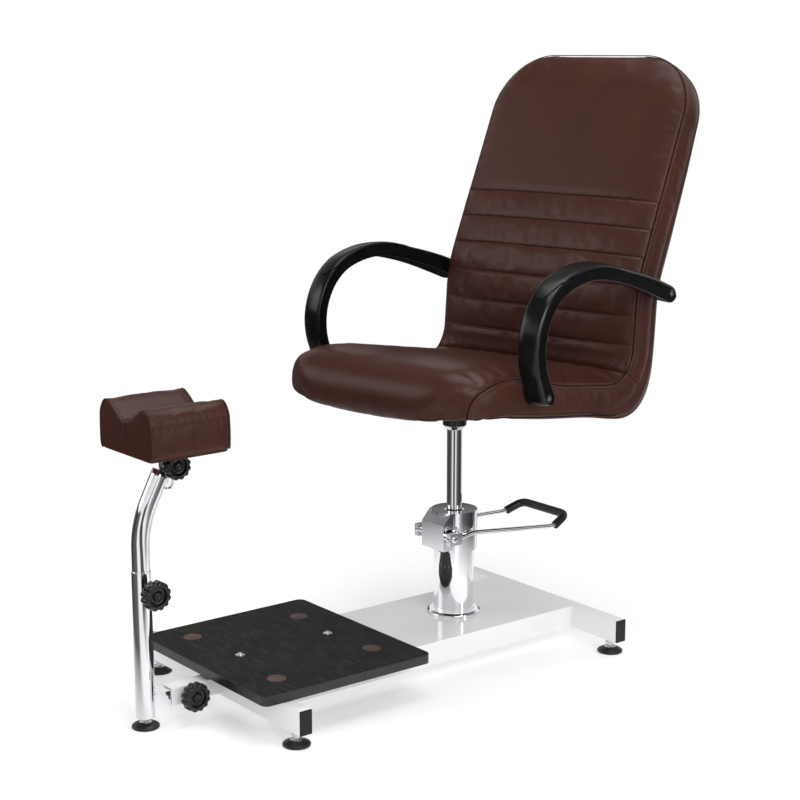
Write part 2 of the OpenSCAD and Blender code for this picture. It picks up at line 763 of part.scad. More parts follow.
function flip_x(points) = [for (i = [len(points) - 1 : -1 : 0]) [-points[i][0], points[i][1], points[i][2]]];
module pedal_loop() { bent_wire(concat(pedal_side, flip_x(pedal_side)), pedal_bend, pedal_rod_d, 14); }
module pedal_rod() { color("silver") at_column() pedal_loop(); }
module pedal_sleeve() {
    color("#1a1a1a") at_column() difference() {
        bent_wire(concat(sleeve_side, flip_x(sleeve_side)), pedal_bend, sleeve_d, 18);
        pedal_loop();
    }
}

// ---- Piston ----
module piston_rod() {
    color("silver") at_column() {
        translate([0, 0, piston_z + piston_h]) cylinder(d = rod_d, h = collar_z - piston_z - piston_h);
        translate([0, 0, collar_z]) cylinder(d1 = rod_d, d2 = socket_d - 3, h = collar_h);
        translate([0, 0, collar_z + collar_h]) cylinder(d = spigot_d, h = spigot_l);
        translate([0, 0, piston_z]) cylinder(d = rod_d / 2, h = piston_h);
    }
}
module piston_head() {
    color("silver") at_column() translate([0, 0, piston_z]) difference() {
        cylinder(d = bore_d - 2 * run, h = piston_h);
        translate([0, 0, -1]) cylinder(d = rod_d / 2, h = piston_h + 2);
        translate([0, 0, 5]) difference() {
            cylinder(d = bore_d + 2, h = 6);
            translate([0, 0, -1]) cylinder(d = bore_d - 8, h = 8);
        }
    }
}
module piston_seal() {
    color("#222222") at_column() translate([0, 0, piston_z + 5]) difference() {
        cylinder(d = bore_d - 2 * run, h = 6);
        translate([0, 0, -1]) cylinder(d = bore_d - 8, h = 8);
    }
}

// ---- Seat ----
module above_plate() {
    translate([0, 0, seat_z]) rotate([-seat_fall, 0, 0]) translate([-150, -150, 0]) cube([300, 300, 100]);
}
module swivel_socket() {
    color("#1b1b1b") at_seat() difference() {
        translate([0, 0, collar_z + collar_h + run]) cylinder(d = socket_d, h = spigot_l + 20);
        translate([0, 0, collar_z]) cylinder(d = spigot_d + 2 * run, h = collar_h + spigot_l + gap);
        above_plate();
    }
}
module on_plate() { at_seat() translate([0, 0, seat_z]) rotate([-seat_fall, 0, 0]) children(); }
screw_places = [for (x = [-1, 1], y = [-1, 1]) [x * (plate_w / 2 - 18), y * (plate_l / 2 - 18)]];
plate_screw = 6;
module seat_plate() {
    color("#1b1b1b") on_plate() difference() {
        linear_extrude(height = plate_t) rounded_square(plate_w, plate_l, 12);
        for (p = screw_places) translate([p[0], p[1], -1]) cylinder(d = plate_screw + 0.4, h = plate_t + 2);
    }
}
module plate_screws() {
    color("silver") on_plate() for (p = screw_places) translate([p[0], p[1], -4]) {
        cylinder(d = 11, h = 4, $fn = 6);
        cylinder(d = plate_screw, h = 4 + plate_t + cover_t + shell_t - 2);
    }
}
module plate_screw_holes() {
    translate([0, 0, seat_z]) rotate([-seat_fall, 0, 0]) for (p = screw_places)
        translate([p[0], p[1], 0]) cylinder(d = plate_screw, h = plate_t + cover_t + shell_t - 2);
}
shell_start = nose_l + 2;
shell_stations = concat(
    [shell_start], span(nose_l + 12, run_s, 5), [run_s + seat_run], span(run_s + seat_run + fold_l / 12, back_s, 11),
    [back_s + low_run], span(back_s + low_run + lumbar_l / 5, back_s + low_run + lumbar_l, 4), [top_s - 16]
);
module shell_side(n_top, n_low) {
    top = [for (s = shell_stations) seat_point(0, s, -n_top)];
    low = [for (i = [len(shell_stations) - 1 : -1 : 0]) seat_point(0, shell_stations[i], -n_low)];
    polygon([for (p = concat(top, low)) [p[1], p[2]]]);
}
bolt_run = 35;
lower_bolt = seat_point(0, run_s + bolt_run, -16);
upper_bolt = seat_point(0, back_s + low_run + 43, -foam_t - shell_t / 2);
module bolt_line(p, x0, x1, d) { translate([x0, p[1], p[2]]) tube_x(d, x1 - x0); }
shell_half = seat_half - lip_w - gap;
shell_top = seat_point(0, top_s - 16, 0)[2] + 20;
module seat_shell() {
    r = top_corner - lip_w - 4;
    q = front_corner - lip_w - gap;
    corner_y = front_y + front_corner + 6;
    color("#c8a878") at_seat() difference() {
        intersection() {
            rotate([90, 0, 90]) translate([0, 0, -shell_half]) linear_extrude(height = 2 * shell_half)
                shell_side(foam_t + gap, foam_t + shell_t);
            rotate([90, 0, 0]) translate([0, 0, -700]) linear_extrude(height = 1400) {
                translate([-shell_half, 0]) square([2 * shell_half, shell_top - r - 38]);
                translate([-shell_half + r, 0]) square([2 * (shell_half - r), shell_top]);
                for (x = [-1, 1]) translate([x * (shell_half - r), shell_top - r - 38]) circle(r = r, $fn = 64);
            }
            linear_extrude(height = 1400) {
                translate([-shell_half, corner_y]) square([2 * shell_half, 1000]);
                translate([-shell_half + q, front_y]) square([2 * (shell_half - q), 1000]);
                for (x = [-1, 1]) translate([x * (shell_half - q), corner_y]) circle(r = q, $fn = 64);
            }
        }
        plate_screw_holes();
        for (side = [-1, 1]) mirrored(side) bolt_line(upper_bolt, shell_half - 34, shell_half + 10, arm_bolt_d);
    }
}
seat_stations = concat(
    span(0, nose_l, 9), [nose_l + 0.5], span(nose_l + brow_l / 4, run_s, 3),
    span(run_s + seat_run / 5, run_s + seat_run, 4), span(run_s + seat_run + fold_l / 12, crease_s - gap, 5)
);
// The crown is highest in front and lower towards the back, where it closes on the fold
function seat_rise(s) =
    seat_crown * min(1 - 0.35 * max(0, s - run_s) / seat_run, 0.2 + (crease_s - s) / 90);
module seat_cushion() {
    color("#45291f") at_seat() difference() {
        skin([
            for (s = seat_stations) s <= nose_l
                ? roll_ring(s, seat_crown * (0.15 + 0.85 * sin(90 * s / nose_l)))
                : pad_ring(s, seat_rise(s), 0, foam_t, foam_t + shell_t, seat_full)
        ], len(across));
        for (side = [-1, 1]) mirrored(side) {
            cleat_block(gap);
            bolt_line(lower_bolt, cleat_x1 - 2, seat_half + 20, arm_bolt_d + 0.4);
        }
    }
}
channel_half = 7;
first_channel = back_s + 3;
function channel_s() = [for (i = [0 : 5]) first_channel + i * channel_pitch];
channels_top = first_channel + 5 * channel_pitch;
back_stations = concat(
    [crease_s + gap, crease_s + 12, crease_s + 28],
    [for (c = channel_s()) each [c - channel_half, c - channel_half / 3, c + channel_half / 3, c + channel_half, c + channel_pitch / 2]],
    span(channels_top + 90, top_s - top_corner, 1),
    span(top_s - top_corner * 0.8, top_s - 22, 3), [top_s - 14, top_s - 13.5, top_s - 6, top_s]
);
function sink_at(s) = max([for (c = channel_s()) abs(s - c) < channel_half * 0.8 ? channel_depth : 0]);
function puff(s) = s < channels_top
    ? 0.75 + 0.25 * sin(180 * ((s - first_channel + channel_pitch * 4) % channel_pitch) / channel_pitch) : 1;
function back_rise(s) = back_crown * puff(s) * min(1, (s - crease_s) / 40 + 0.1) * min(1, 0.35 + (top_s - s) / 120);
module back_cushion() {
    color("#45291f") at_seat() difference() {
        skin([
            for (s = back_stations) pad_ring(
                s, back_rise(s), sink_at(s), s > top_s - 14 ? foam_t + shell_t : foam_t, foam_t + shell_t)
        ], len(across));
        for (side = [-1, 1]) mirrored(side) bolt_line(upper_bolt, seat_half - 30, seat_half + 20, arm_bolt_d + 0.4);
    }
}
cover_across = [-1, -0.5, 0, 0.5, 1];
fold_pad = 20;
// Depth of the cover's outer face below the side line: level with the roll in front, thicker round the fold
function cover_depth(s) =
    let (
        t = (s - run_s - seat_run) / fold_l,
        thin = max(0, (run_s - s) / (run_s - nose_l)),
        fold = t > 0 && t < 1 ? fold_pad * pow(sin(180 * t), 2) : 0,
        back = 5 * max(0, min(1, t)) - 7 * max(0, min(1, (s - top_s + 220) / 220))
    )
    foam_t + shell_t + 2 + (cover_t - 2) * (1 - thin) + fold + back;
// One ring of the padded cover under and behind the shell, its outer edge rounded
function cover_ring(s) =
    let (
        w = half_at(s),
        near = foam_t + shell_t + gap,
        far = cover_depth(s),
        inner = [for (u = cover_across) seat_point(u * w, s, -near)],
        outer = [for (i = [4 : -1 : 0]) seat_point(cover_across[i] * (w - 6), s, -far)]
    )
    concat(
        inner, [seat_point(w + 1, s, -near - 3), seat_point(w - 1, s, -far + 3)],
        outer, [seat_point(-w + 1, s, -far + 3), seat_point(-w - 1, s, -near - 3)]
    );
cover_stations = concat(
    [shell_start + 1], span(nose_l + 12, run_s, 4), [run_s + seat_run],
    span(run_s + seat_run + fold_l / 12, back_s, 11),
    [back_s + low_run], span(back_s + low_run + lumbar_l / 5, back_s + low_run + lumbar_l, 4),
    [top_s - top_corner], span(top_s - top_corner * 0.8, top_s, 6)
);
module shell_cover() {
    color("#3a221a") at_seat() difference() {
        skin([for (s = cover_stations) cover_ring(s)], len(cover_across));
        plate_screw_holes();
    }
}
cleat_x0 = seat_half - 62;
cleat_x1 = seat_half - 8;
module cleat_block(slack) {
    e = side(run_s + bolt_run);
    translate([0, e[0][0], e[0][1]]) rotate([e[1], 0, 0])
        translate([cleat_x0 - slack, -28 - slack, -foam_t - gap - slack])
            cube([cleat_x1 - cleat_x0 + 2 * slack, 56 + 2 * slack, foam_t - 8 + 2 * slack]);
}
module arm_cleats() {
    color("#b08a5a") at_seat() for (side = [-1, 1]) mirrored(side) difference() {
        cleat_block(0);
        bolt_line(lower_bolt, cleat_x1 - 40, cleat_x1 + 10, arm_bolt_d);
    }
}

// ---- Armrests ----
arm_low_l = 42;
arm_lean = 26.5;
arm_low_turn = 3;
arm_front_r = 124;
arm_front_turn = 95;
arm_top_r = 262;
arm_top_turn = 30.5;
arm_bend = [
    [arm_low_l, -arm_low_turn],
    [arm_front_r * rad(arm_front_turn), -arm_front_turn],
    [arm_top_r * rad(arm_top_turn), -arm_top_turn]
];
arm_s1 = arm_bend[0][0] + arm_bend[1][0];
arm_s2 = arm_s1 + arm_bend[2][0];
arm_start = [lower_bolt[1], lower_bolt[2]];
// The last stretch is the arc that leaves the bend smoothly and ends on the upper bolt
arm_bent = along(arm_bend, arm_s2, arm_start, 90 + arm_lean);
arm_chord = [upper_bolt[1], upper_bolt[2]] - arm_bent[0];
arm_rear_turn = 2 * (atan2(arm_chord[1], arm_chord[0]) - arm_bent[1]);
arm_rear_l = norm(arm_chord) * rad(arm_rear_turn / 2) / sin(arm_rear_turn / 2);
arm_path = concat(arm_bend, [[arm_rear_l, arm_rear_turn]]);
arm_l = arm_s2 + arm_rear_l;
arm_edge_r = 4;
function arm_at(s) = along(arm_path, s, arm_start, 90 + arm_lean);
// Thickness of the bar: a boss round each bolt, slimmest just above the lower one
function arm_thick(s) = lookup(s, [
    [0, arm_low_d], [34, arm_t - 3], [100, arm_t], [arm_l - 150, arm_t + 1], [arm_l - 55, arm_rear_t]
]);
// Clockwise outline of a bar section, w across and t thick, shifted outwards by up
function bar_section(w, t, r, up = 0) = [
    for (k = [0 : 3], j = [0 : 4])
        let (a = 180 - 90 * k - 22.5 * j, sx = k == 0 || k == 3 ? -1 : 1, sz = k < 2 ? 1 : -1)
        let (x = sx * (w / 2 - r) + r * cos(a)) [x, up + sz * (t / 2 - r) + r * sin(a) - arm_fall * x / arm_w]
];
function arm_ring(s, section) =
    let (e = arm_at(s))
    [for (q = section) [arm_x + q[0], e[0][0] - q[1] * sin(e[1]), e[0][1] + q[1] * cos(e[1])]];
arm_ends = [0.99, 0.9, 0.72, 0.48, 0.24, 0];
pad_s0 = arm_low_l + arm_front_r * rad(71);
pad_s1 = arm_s2 + 36;
pad_curve = concat(span(pad_s0, arm_s1, 6), span(arm_s1 + 28, arm_s2, 4), [pad_s1]);
pad_bed = arm_pad_t + gap;
function span_rings(a, b, n) = [for (s = span(a, b, n)) [s, 0]];
// Rings of the arm: [distance, depth taken off the outer side for the pad]
arm_rings = concat(
    [for (d = arm_ends) [-d * arm_low_d / 2, 0]], [for (s = [12, 24, 34]) [s, 0]], span_rings(50, pad_s0 - gap, 4),
    [for (i = [0 : len(pad_curve) - 1]) [pad_curve[i] + (i == 0 ? -0.2 : 0), pad_bed]],
    span_rings(pad_s1 + gap, arm_l - 20, 4), [for (i = [5 : -1 : 0]) [arm_l + arm_ends[i] * arm_rear_t / 2, 0]]
);
function arm_section(s, bed) =
    let (
        over = max(0, -s / arm_low_d, (s - arm_l) / arm_rear_t) * 2,
        t = (arm_thick(s) - bed) * sqrt(max(0.03, 1 - over * over))
    )
    bar_section(arm_w, t, min(arm_edge_r, t / 2 - 0.2), -bed / 2);
module armrest(side) {
    color("#151515") at_seat() mirrored(side) difference() {
        loft([for (r = arm_rings) arm_ring(r[0], arm_section(r[0], r[1]))]);
        arm_hole(lower_bolt);
        arm_hole(upper_bolt);
    }
}
module arm_pad(side) {
    color("#202020") at_seat() mirrored(side) loft([
        for (s = pad_curve)
            arm_ring(s, bar_section(arm_w - 1, arm_pad_t, arm_pad_t / 2 - 0.2, (arm_thick(s) - arm_pad_t) / 2))
    ]);
}
module arm_hole(p) {
    bolt_line(p, arm_x - arm_w, arm_x + arm_w, arm_bolt_d + 0.4);
    bolt_line(p, arm_x + arm_w / 2 - arm_head_deep, arm_x + arm_w, arm_head_d + 1);
}
module left_arm() { armrest(1); }
module right_arm() { armrest(-1); }
module left_arm_pad() { arm_pad(1); }
module right_arm_pad() { arm_pad(-1); }
module arm_bolts() {
    head_x = arm_x + arm_w / 2 - arm_head_deep;
    color("silver") at_seat() for (side = [-1, 1]) mirrored(side) {
        for (b = [[lower_bolt, cleat_x1 - 38], [upper_bolt, shell_half - 32]]) {
            bolt_line(b[0], b[1], head_x, arm_bolt_d);
            translate([head_x, b[0][1], b[0][2]]) difference() {
                tube_x(arm_head_d, 5);
                translate([2, 0, 0]) rotate([0, 90, 0]) cylinder(d = 7, h = 4, $fn = 6);
            }
        }
    }
}

// ---- Leg rest ----
module clamp_knob(d, reach) {
    difference() {
        tube_x(d, knob_t);
        for (a = [0 : 30 : 330]) rotate([a, 0, 0]) translate([-1, 0, d / 2 + 3.2]) tube_x(12, knob_t + 2);
        translate([knob_t - 8, 0, 0]) difference() {
            tube_x(d * 0.62, 9);
            translate([-1, 0, 0]) rotate([0, 90, 0]) cylinder(d1 = d * 0.4, d2 = d * 0.28, h = 8);
        }
    }
    translate([-reach, 0, 0]) tube_x(knob_stud, reach + 2);
}
knob_free = 1;
module socket_knob() {
    color("#161616") at_column() translate([socket_w / 2 + boss_l + knob_free, socket_knob_y, beam_mid])
        clamp_knob(knob_d, boss_l + socket_wall + knob_free - 0.2);
}
module post_knob() {
    color("#161616") at_column() translate([post_d / 2 + boss_l + knob_free, -post_front, post_knob_z])
        clamp_knob(knob_d, boss_l + post_wall + knob_free - 0.2);
}
module slide_arm() {
    color("silver") at_column() translate([0, -post_front, beam_mid]) difference() {
        translate([-slide_w / 2, 0, -slide_w / 2]) cube([slide_w, slide_l, slide_w]);
        translate([-slide_w / 2 + slide_wall, 0, -slide_w / 2 + slide_wall])
            cube([slide_w - 2 * slide_wall, slide_l + 1, slide_w - 2 * slide_wall]);
        cylinder(d = post_d, h = 100, center = true);
    }
}
post_plug_h = 14;
module post_tube() {
    color("silver") at_column() translate([0, -post_front, 0]) difference() {
        union() {
            translate([0, 0, post_z]) cylinder(d = post_d, h = post_top - post_z, $fn = 64);
            translate([0, 0, post_knob_z]) knob_boss(post_d / 2 - 0.6);
        }
        translate([0, 0, post_z + post_plug_h]) cylinder(d = post_d - 2 * post_wall, h = post_top, $fn = 64);
        translate([0, 0, post_z - 1]) cylinder(d = foot_stud + 2 * run, h = post_plug_h + 2);
        translate([post_d / 2 - 4, 0, post_knob_z]) tube_x(knob_stud + 2 * run, boss_l + 10);
    }
}
module post_foot() {
    color("#181818") at_column() translate([0, -post_front, 0]) levelling_foot(post_z + post_plug_h + 8);
}
// The tube's end is swaged a little wider than the rest, from just before the end of the bend
module bent_post(below, end_l, d, swage) {
    below_bend = upper_in + bend_start + below;
    in_side_plane(0, -post_front, post_top - upper_in - below, 90) {
        bent_bar([[below_bend, 0, true], [bend_r, bend_a, true]]) circle(d = d, $fn = 64);
        bent_bar([[below_bend, 0, false], [bend_r, bend_a, false], [-3, 0, false], [end_l + 3, 0, true]])
            circle(d = d + swage, $fn = 64);
    }
}
module upper_tube() {
    color("silver") at_column() difference() {
        union() {
            bent_post(0, 78, upper_d, 0.4);
            translate([0, sleeve_y, sleeve_z]) cylinder(d = spindle_sleeve_d, h = sleeve_top - sleeve_z);
            translate([0, sleeve_y, small_knob_z]) knob_boss(spindle_d / 2 + 1);
        }
        bent_post(1, 36, upper_d - 2 * upper_wall, -0.4);
        translate([0, sleeve_y, sleeve_z - 10]) cylinder(d = spindle_d + 2 * run, h = 100);
        translate([spindle_d / 2 - 2, sleeve_y, small_knob_z]) tube_x(knob_stud + 2 * run, 20);
    }
}
module cushion_knob() {
    color("#161616") at_column()
        translate([spindle_sleeve_d / 2 + boss_l + knob_free, sleeve_y, small_knob_z])
            clamp_knob(small_knob_d, boss_l + (spindle_sleeve_d - spindle_d) / 2 + knob_free - 0.4);
}
spindle_flange_d = 56;
module cushion_spindle() {
    color("silver") at_column() translate([0, sleeve_y, 0]) difference() {
        union() {
            translate([0, 0, sleeve_z - 4]) cylinder(d = spindle_d, h = sleeve_top + gap - sleeve_z + 4);
            translate([0, 0, sleeve_top + gap]) cylinder(d = spindle_flange_d, h = spindle_plate_t);
        }
        for (a = [45 : 90 : 315]) rotate([0, 0, a]) translate([spindle_flange_d / 2 - 7, 0, sleeve_top]) {
            cylinder(d = 4.4, h = 10);
            cylinder(d = 8.6, h = gap + 1.8);
        }
    }
}
cushion_board_z = cushion_z + recess_h;
module spindle_screws() {
    color("silver") at_column() translate([0, sleeve_y, 0]) for (a = [45 : 90 : 315]) rotate([0, 0, a])
        translate([spindle_flange_d / 2 - 7, 0, sleeve_top + gap]) {
            cylinder(d = 8, h = 1.8);
            cylinder(d = 4, h = spindle_plate_t + 9);
        }
}
module cushion_board() {
    color("#2a2320") at_column() translate([0, sleeve_y, cushion_board_z]) difference() {
        linear_extrude(height = cushion_board_t) rounded_square(cushion_w - 30, cushion_l - 30, 10);
        for (a = [45 : 90 : 315]) rotate([0, 0, a]) translate([spindle_flange_d / 2 - 7, 0, -1])
            cylinder(d = 4, h = 10.3);
    }
}
// Leg cushion: rings along its length, each with the trough, the two ridges and drawn-in sides
leg_across = [-1, -0.95, -0.82, -0.6, -0.3, -0.12, 0, 0.12, 0.3, 0.6, 0.82, 0.95, 1];
function ridge(u) =
    let (a = abs(u), fall = a < 0.12 ? trough_depth : trough_depth * (0.62 - a) / 0.5, edge = (a - 0.72) / 0.28)
    a < 0.55 ? cushion_h - max(2, fall) : a < 0.72 ? cushion_h : cushion_h - 16 * edge * edge;
function leg_ring(v) =
    let (
        w = cushion_w / 2 - 1.5 + 1.5 * (1 - v * v) - 3.5 * pow(abs(v), 12),
        y = v * cushion_l / 2,
        fall = 2 * v * v + 4 * pow(abs(v), 12),
        top = [for (u = leg_across) [u * w, y, cushion_z + ridge(u) - fall]],
        low = [for (i = [len(leg_across) - 1 : -1 : 0]) [leg_across[i] * (w - 3), y, cushion_z]]
    )
    concat(
        top, [[w + 1, y, cushion_z + cushion_h * 0.55], [w, y, cushion_z + 8]],
        low, [[-w, y, cushion_z + 8], [-w - 1, y, cushion_z + cushion_h * 0.55]]
    );
module leg_cushion() {
    color("#45291f") at_column() translate([0, sleeve_y, 0]) difference() {
        skin([for (v = [-1, -0.96, -0.86, -0.5, 0, 0.5, 0.86, 0.96, 1]) leg_ring(v)], len(leg_across));
        translate([0, 0, cushion_board_z - gap]) linear_extrude(height = cushion_board_t + 2 * gap)
            rounded_square(cushion_w - 30 + 2 * gap, cushion_l - 30 + 2 * gap, 10);
        translate([0, 0, cushion_z - 1]) cylinder(d = 120, h = recess_h + 2);
    }
}

base_beam();
rear_bar();
front_bar();
bar_end_caps();
leg_socket();
foot_lock_nuts();
foot_board();
board_edging();
grip_pads();
board_screws();
rear_left_foot();
rear_right_foot();
front_left_foot();
front_right_foot();
column_ring();
pump_bolts();
oil_tank();
pump_cylinder();
pump_head();
gland_nut();
rod_seal();
release_valve();
pump_plunger();
plunger_spring();
pivot_shaft();
lever_finger();
pedal_clamps();
pedal_rod();
pedal_sleeve();
piston_rod();
piston_head();
piston_seal();
swivel_socket();
seat_plate();
plate_screws();
seat_shell();
seat_cushion();
back_cushion();
shell_cover();
arm_cleats();
left_arm();
right_arm();
left_arm_pad();
right_arm_pad();
arm_bolts();
slide_arm();
post_tube();
post_foot();
socket_knob();
post_knob();
upper_tube();
cushion_knob();
cushion_spindle();
cushion_board();
spindle_screws();
leg_cushion();
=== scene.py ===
import math

import bmesh
import bpy
import numpy as np
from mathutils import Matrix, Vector


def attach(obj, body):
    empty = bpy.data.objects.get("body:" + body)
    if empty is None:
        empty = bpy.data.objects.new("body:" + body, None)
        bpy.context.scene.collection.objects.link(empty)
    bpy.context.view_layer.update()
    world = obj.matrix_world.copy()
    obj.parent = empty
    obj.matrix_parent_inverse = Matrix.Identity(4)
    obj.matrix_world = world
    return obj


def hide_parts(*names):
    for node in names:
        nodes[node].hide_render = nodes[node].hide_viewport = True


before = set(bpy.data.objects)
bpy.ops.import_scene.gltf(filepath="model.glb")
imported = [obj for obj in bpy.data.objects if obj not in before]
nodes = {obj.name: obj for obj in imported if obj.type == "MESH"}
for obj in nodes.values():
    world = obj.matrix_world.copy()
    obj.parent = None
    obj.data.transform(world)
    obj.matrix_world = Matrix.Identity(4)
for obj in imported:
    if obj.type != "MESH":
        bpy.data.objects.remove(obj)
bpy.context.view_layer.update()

scene = bpy.context.scene
MM = 0.001

# ---- Numbers shared with the solids, in millimetres and degrees ----
COLUMN = (20.0, 100.0)
SEAT_TURN = math.radians(10.6)
FOAM, SHELL, COVER = 38.0, 12.0, 10.0
SEAT_HALF, FRONT_CORNER, TOP_CORNER = 243.0, 82.0, 128.0
SEAT_CROWN, BACK_CROWN = 34.0, 13.0
SEAT_FALL = 7.5
NOSE_R, NOSE_START, NOSE_TURN, FOLD_R, FOLD_TURN = 50.0, 108.0, 103.0, 70.0, 92.9
NOSE_L = NOSE_R * math.radians(NOSE_TURN)
FOLD_L = FOLD_R * math.radians(FOLD_TURN)
SPINE = ((NOSE_L, -NOSE_TURN), (90.0, -12.5), (300.0, 0.0), (FOLD_L, FOLD_TURN),
         (75.0, 0.0), (100.0, -19.9), (434.0, 0.0))
RUN_S = NOSE_L + 90.0
FOLD_S = RUN_S + 300.0
CREASE_S = FOLD_S + 0.54 * FOLD_L
BACK_S = FOLD_S + FOLD_L
TOP_S = BACK_S + 75.0 + 100.0 + 434.0
CHANNEL_PITCH = 58.0
CHANNELS = BACK_S + 3.0 + CHANNEL_PITCH * np.arange(6)
# How much the face of the back stands up inside its seam, and the rear cover is fuller at the lower back
PLUMP, FULLER = 5.0, 11.0

ARM_W, ARM_T, ARM_FALL, ARM_X = 47.0, 27.0, 5.0, 271.5
ARM_LOW_D, ARM_REAR_T = 30.0, 34.0
ARM_BEND = ((42.0, -3.0), (124.0 * math.radians(95.0), -95.0), (262.0 * math.radians(30.5), -30.5))
POST_Y, SLEEVE_Y = -712.0, -657.0
CUSHION_Z, CUSHION_W, CUSHION_L, CUSHION_H = 499.0, 178.0, 156.0, 92.0


# ---- Making meshes ----
def along(path, start, heading, s):
    """Two coordinates and the heading, in degrees, at distances s along stretches of (length, turn)."""
    s = np.asarray(s, float)
    out = np.zeros(s.shape + (3,))
    p, done = np.array(start, float), 0.0
    for i, (length, turn) in enumerate(path):
        d = s - done
        here = (d >= 0) if i else np.ones(s.shape, bool)

        def at(d):
            h = heading + turn * d / length
            if abs(turn) < 1e-6:
                a = math.radians(heading)
                return p[0] + d * math.cos(a), p[1] + d * math.sin(a), h
            r = length / math.radians(turn)
            a, b = np.radians(h), math.radians(heading)
            return p[0] + r * (np.sin(a) - math.sin(b)), p[1] + r * (math.cos(b) - np.cos(a)), h
        u, v, h = at(d)
        out[here] = np.stack([u, v, h + 0 * d], -1)[here]
        u, v, h = at(np.float64(length))
        p, heading, done = np.array([u, v], float), float(h), done + length
    return out


fall = math.radians(SEAT_FALL)
flat_run = np.array([-117.0, 500.0 + 64.0 / math.cos(fall) + 117.0 * math.tan(fall)])
SIDE_START = flat_run - along(SPINE, (0.0, 0.0), NOSE_START, RUN_S)[:2]


def side(s):
    """Where the seat's side line runs: y, z and heading at distance s from its front end."""
    return along(SPINE, SIDE_START, NOSE_START, s)


def on_seat(x, y, z):
    """Millimetres of the seat to metres of the chair."""
    c, s = math.cos(SEAT_TURN), math.sin(SEAT_TURN)
    x, y, z = np.broadcast_arrays(x, y, z)
    return np.stack([COLUMN[0] + x * c - y * s, COLUMN[1] + x * s + y * c, z], -1) * MM


def above_side(x, s, n):
    """A point x across the seat, s along its side line and n above it."""
    e = side(s)
    a = np.radians(e[..., 2])
    return on_seat(x, e[..., 0] - n * np.sin(a), e[..., 1] + n * np.cos(a))


def at_column(x, y, z):
    x, y, z = np.broadcast_arrays(x, y, z)
    return np.stack([COLUMN[0] + x, COLUMN[1] + y, z], -1) * MM


def round_in(d, r):
    d = np.clip(d, 0, r)
    return r - np.sqrt(np.maximum(0, r * r - (r - d) ** 2))


FRONT_S = NOSE_R * math.radians(NOSE_START - 90)
FRONT_Y = side(FRONT_S)[0]


def half_behind(y):
    """Half width of the seat at y, where the front corners are rounded in plan."""
    return SEAT_HALF - round_in(np.maximum(0, y - FRONT_Y), FRONT_CORNER)


def half_at(s):
    """Half width of the seat and back at s, less the rounded front and top corners."""
    s = np.asarray(s, float)
    ahead = np.where(s < FRONT_S, 0, np.where(s < RUN_S, side(s)[..., 0] - FRONT_Y, FRONT_CORNER))
    return SEAT_HALF - round_in(ahead, FRONT_CORNER) - round_in(TOP_S - s, TOP_CORNER)


def solid(name, verts, faces):
    """A smooth shaded object whose faces all look outwards."""
    mesh = bpy.data.meshes.new(name)
    mesh.from_pydata([tuple(v) for v in verts], [], faces)
    mesh.validate()
    work = bmesh.new()
    work.from_mesh(mesh)
    bmesh.ops.recalc_face_normals(work, faces=work.faces)
    work.to_mesh(mesh)
    work.free()
    mesh.shade_smooth()
    piece = bpy.data.objects.new(name, mesh)
    scene.collection.objects.link(piece)
    return piece


def skin(name, rings, strip=0):
    """A closed skin over rings of points. strip is the number of face points where strips close the ends."""
    rings = np.asarray(rings)
    r, c = rings.shape[:2]
    faces = []
    for i in range(r - 1):
        for j in range(c):
            a, b, k = i * c + j, i * c + (j + 1) % c, (i + 1) * c
            faces.append((a, b, k + (j + 1) % c, k + j))
    if strip:
        rest = (c - 2 * strip) // 2
        for o in (0, (r - 1) * c):
            low = [o + 2 * strip + rest - 1 - i for i in range(strip)]
            faces += [(o + i, o + i + 1, low[i + 1], low[i]) for i in range(strip - 1)]
            right = [o + strip - 1 + i for i in range(rest + 2)]
            left = [o] + [o + c - 1 - i for i in range(rest)] + [low[0]]
            faces += [tuple(right), tuple(left)]
    else:
        faces += [tuple(range(c)), tuple(range((r - 1) * c, r * c))]
    return solid(name, rings.reshape(-1, 3), faces)


def unit(v):
    return v / np.maximum(np.linalg.norm(v, axis=-1, keepdims=True), 1e-12)


def tangents(points):
    return unit(np.gradient(points, axis=0))


def tube_rings(points, radius, sides):
    """Rings of a round section carried along points without twisting."""
    t = tangents(points)
    n = np.cross(t[0], [0.3, 0.2, 0.93])
    rings, a = [], np.linspace(0, 2 * math.pi, sides, endpoint=False)
    radius = np.broadcast_to(radius, len(points))
    for p, d, r in zip(points, t, radius):
        n = unit(n - d * np.dot(n, d))
        b = np.cross(d, n)
        rings.append(p + r * (np.cos(a)[:, None] * n + np.sin(a)[:, None] * b))
    return np.array(rings)


def tube(name, points, radius, sides=16, ends=0.0):
    """A round bar or tube along points, in metres, its ends rounded over by ends."""
    points = np.asarray(points, float)
    radius = np.broadcast_to(radius, len(points)).astype(float)
    if ends:
        t = tangents(points)
        turn = np.radians([80, 55, 28])
        head = [points[0] + t[0] * ends * (1 - math.sin(a)) for a in turn]
        tail = [points[-1] - t[-1] * ends * (1 - math.sin(a)) for a in turn]
        cut_in = [radius[0] - ends * (1 - math.cos(a)) for a in turn]
        inner = np.linalg.norm(points - points[0], axis=1) > ends
        inner &= np.linalg.norm(points - points[-1], axis=1) > ends
        points = np.array(head + list(points[inner]) + tail[::-1])
        radius = np.array(cut_in + list(radius[inner]) + cut_in[::-1])
    return skin(name, tube_rings(points, radius, sides))


def evenly(points, step):
    """Points spaced evenly along a line, step apart."""
    points = np.asarray(points)
    d = np.concatenate([[0], np.cumsum(np.linalg.norm(np.diff(points, axis=0), axis=1))])
    at = np.linspace(0, d[-1], max(2, int(round(d[-1] / step)) + 1))
    return np.stack([np.interp(at, d, points[:, k]) for k in range(3)], -1)


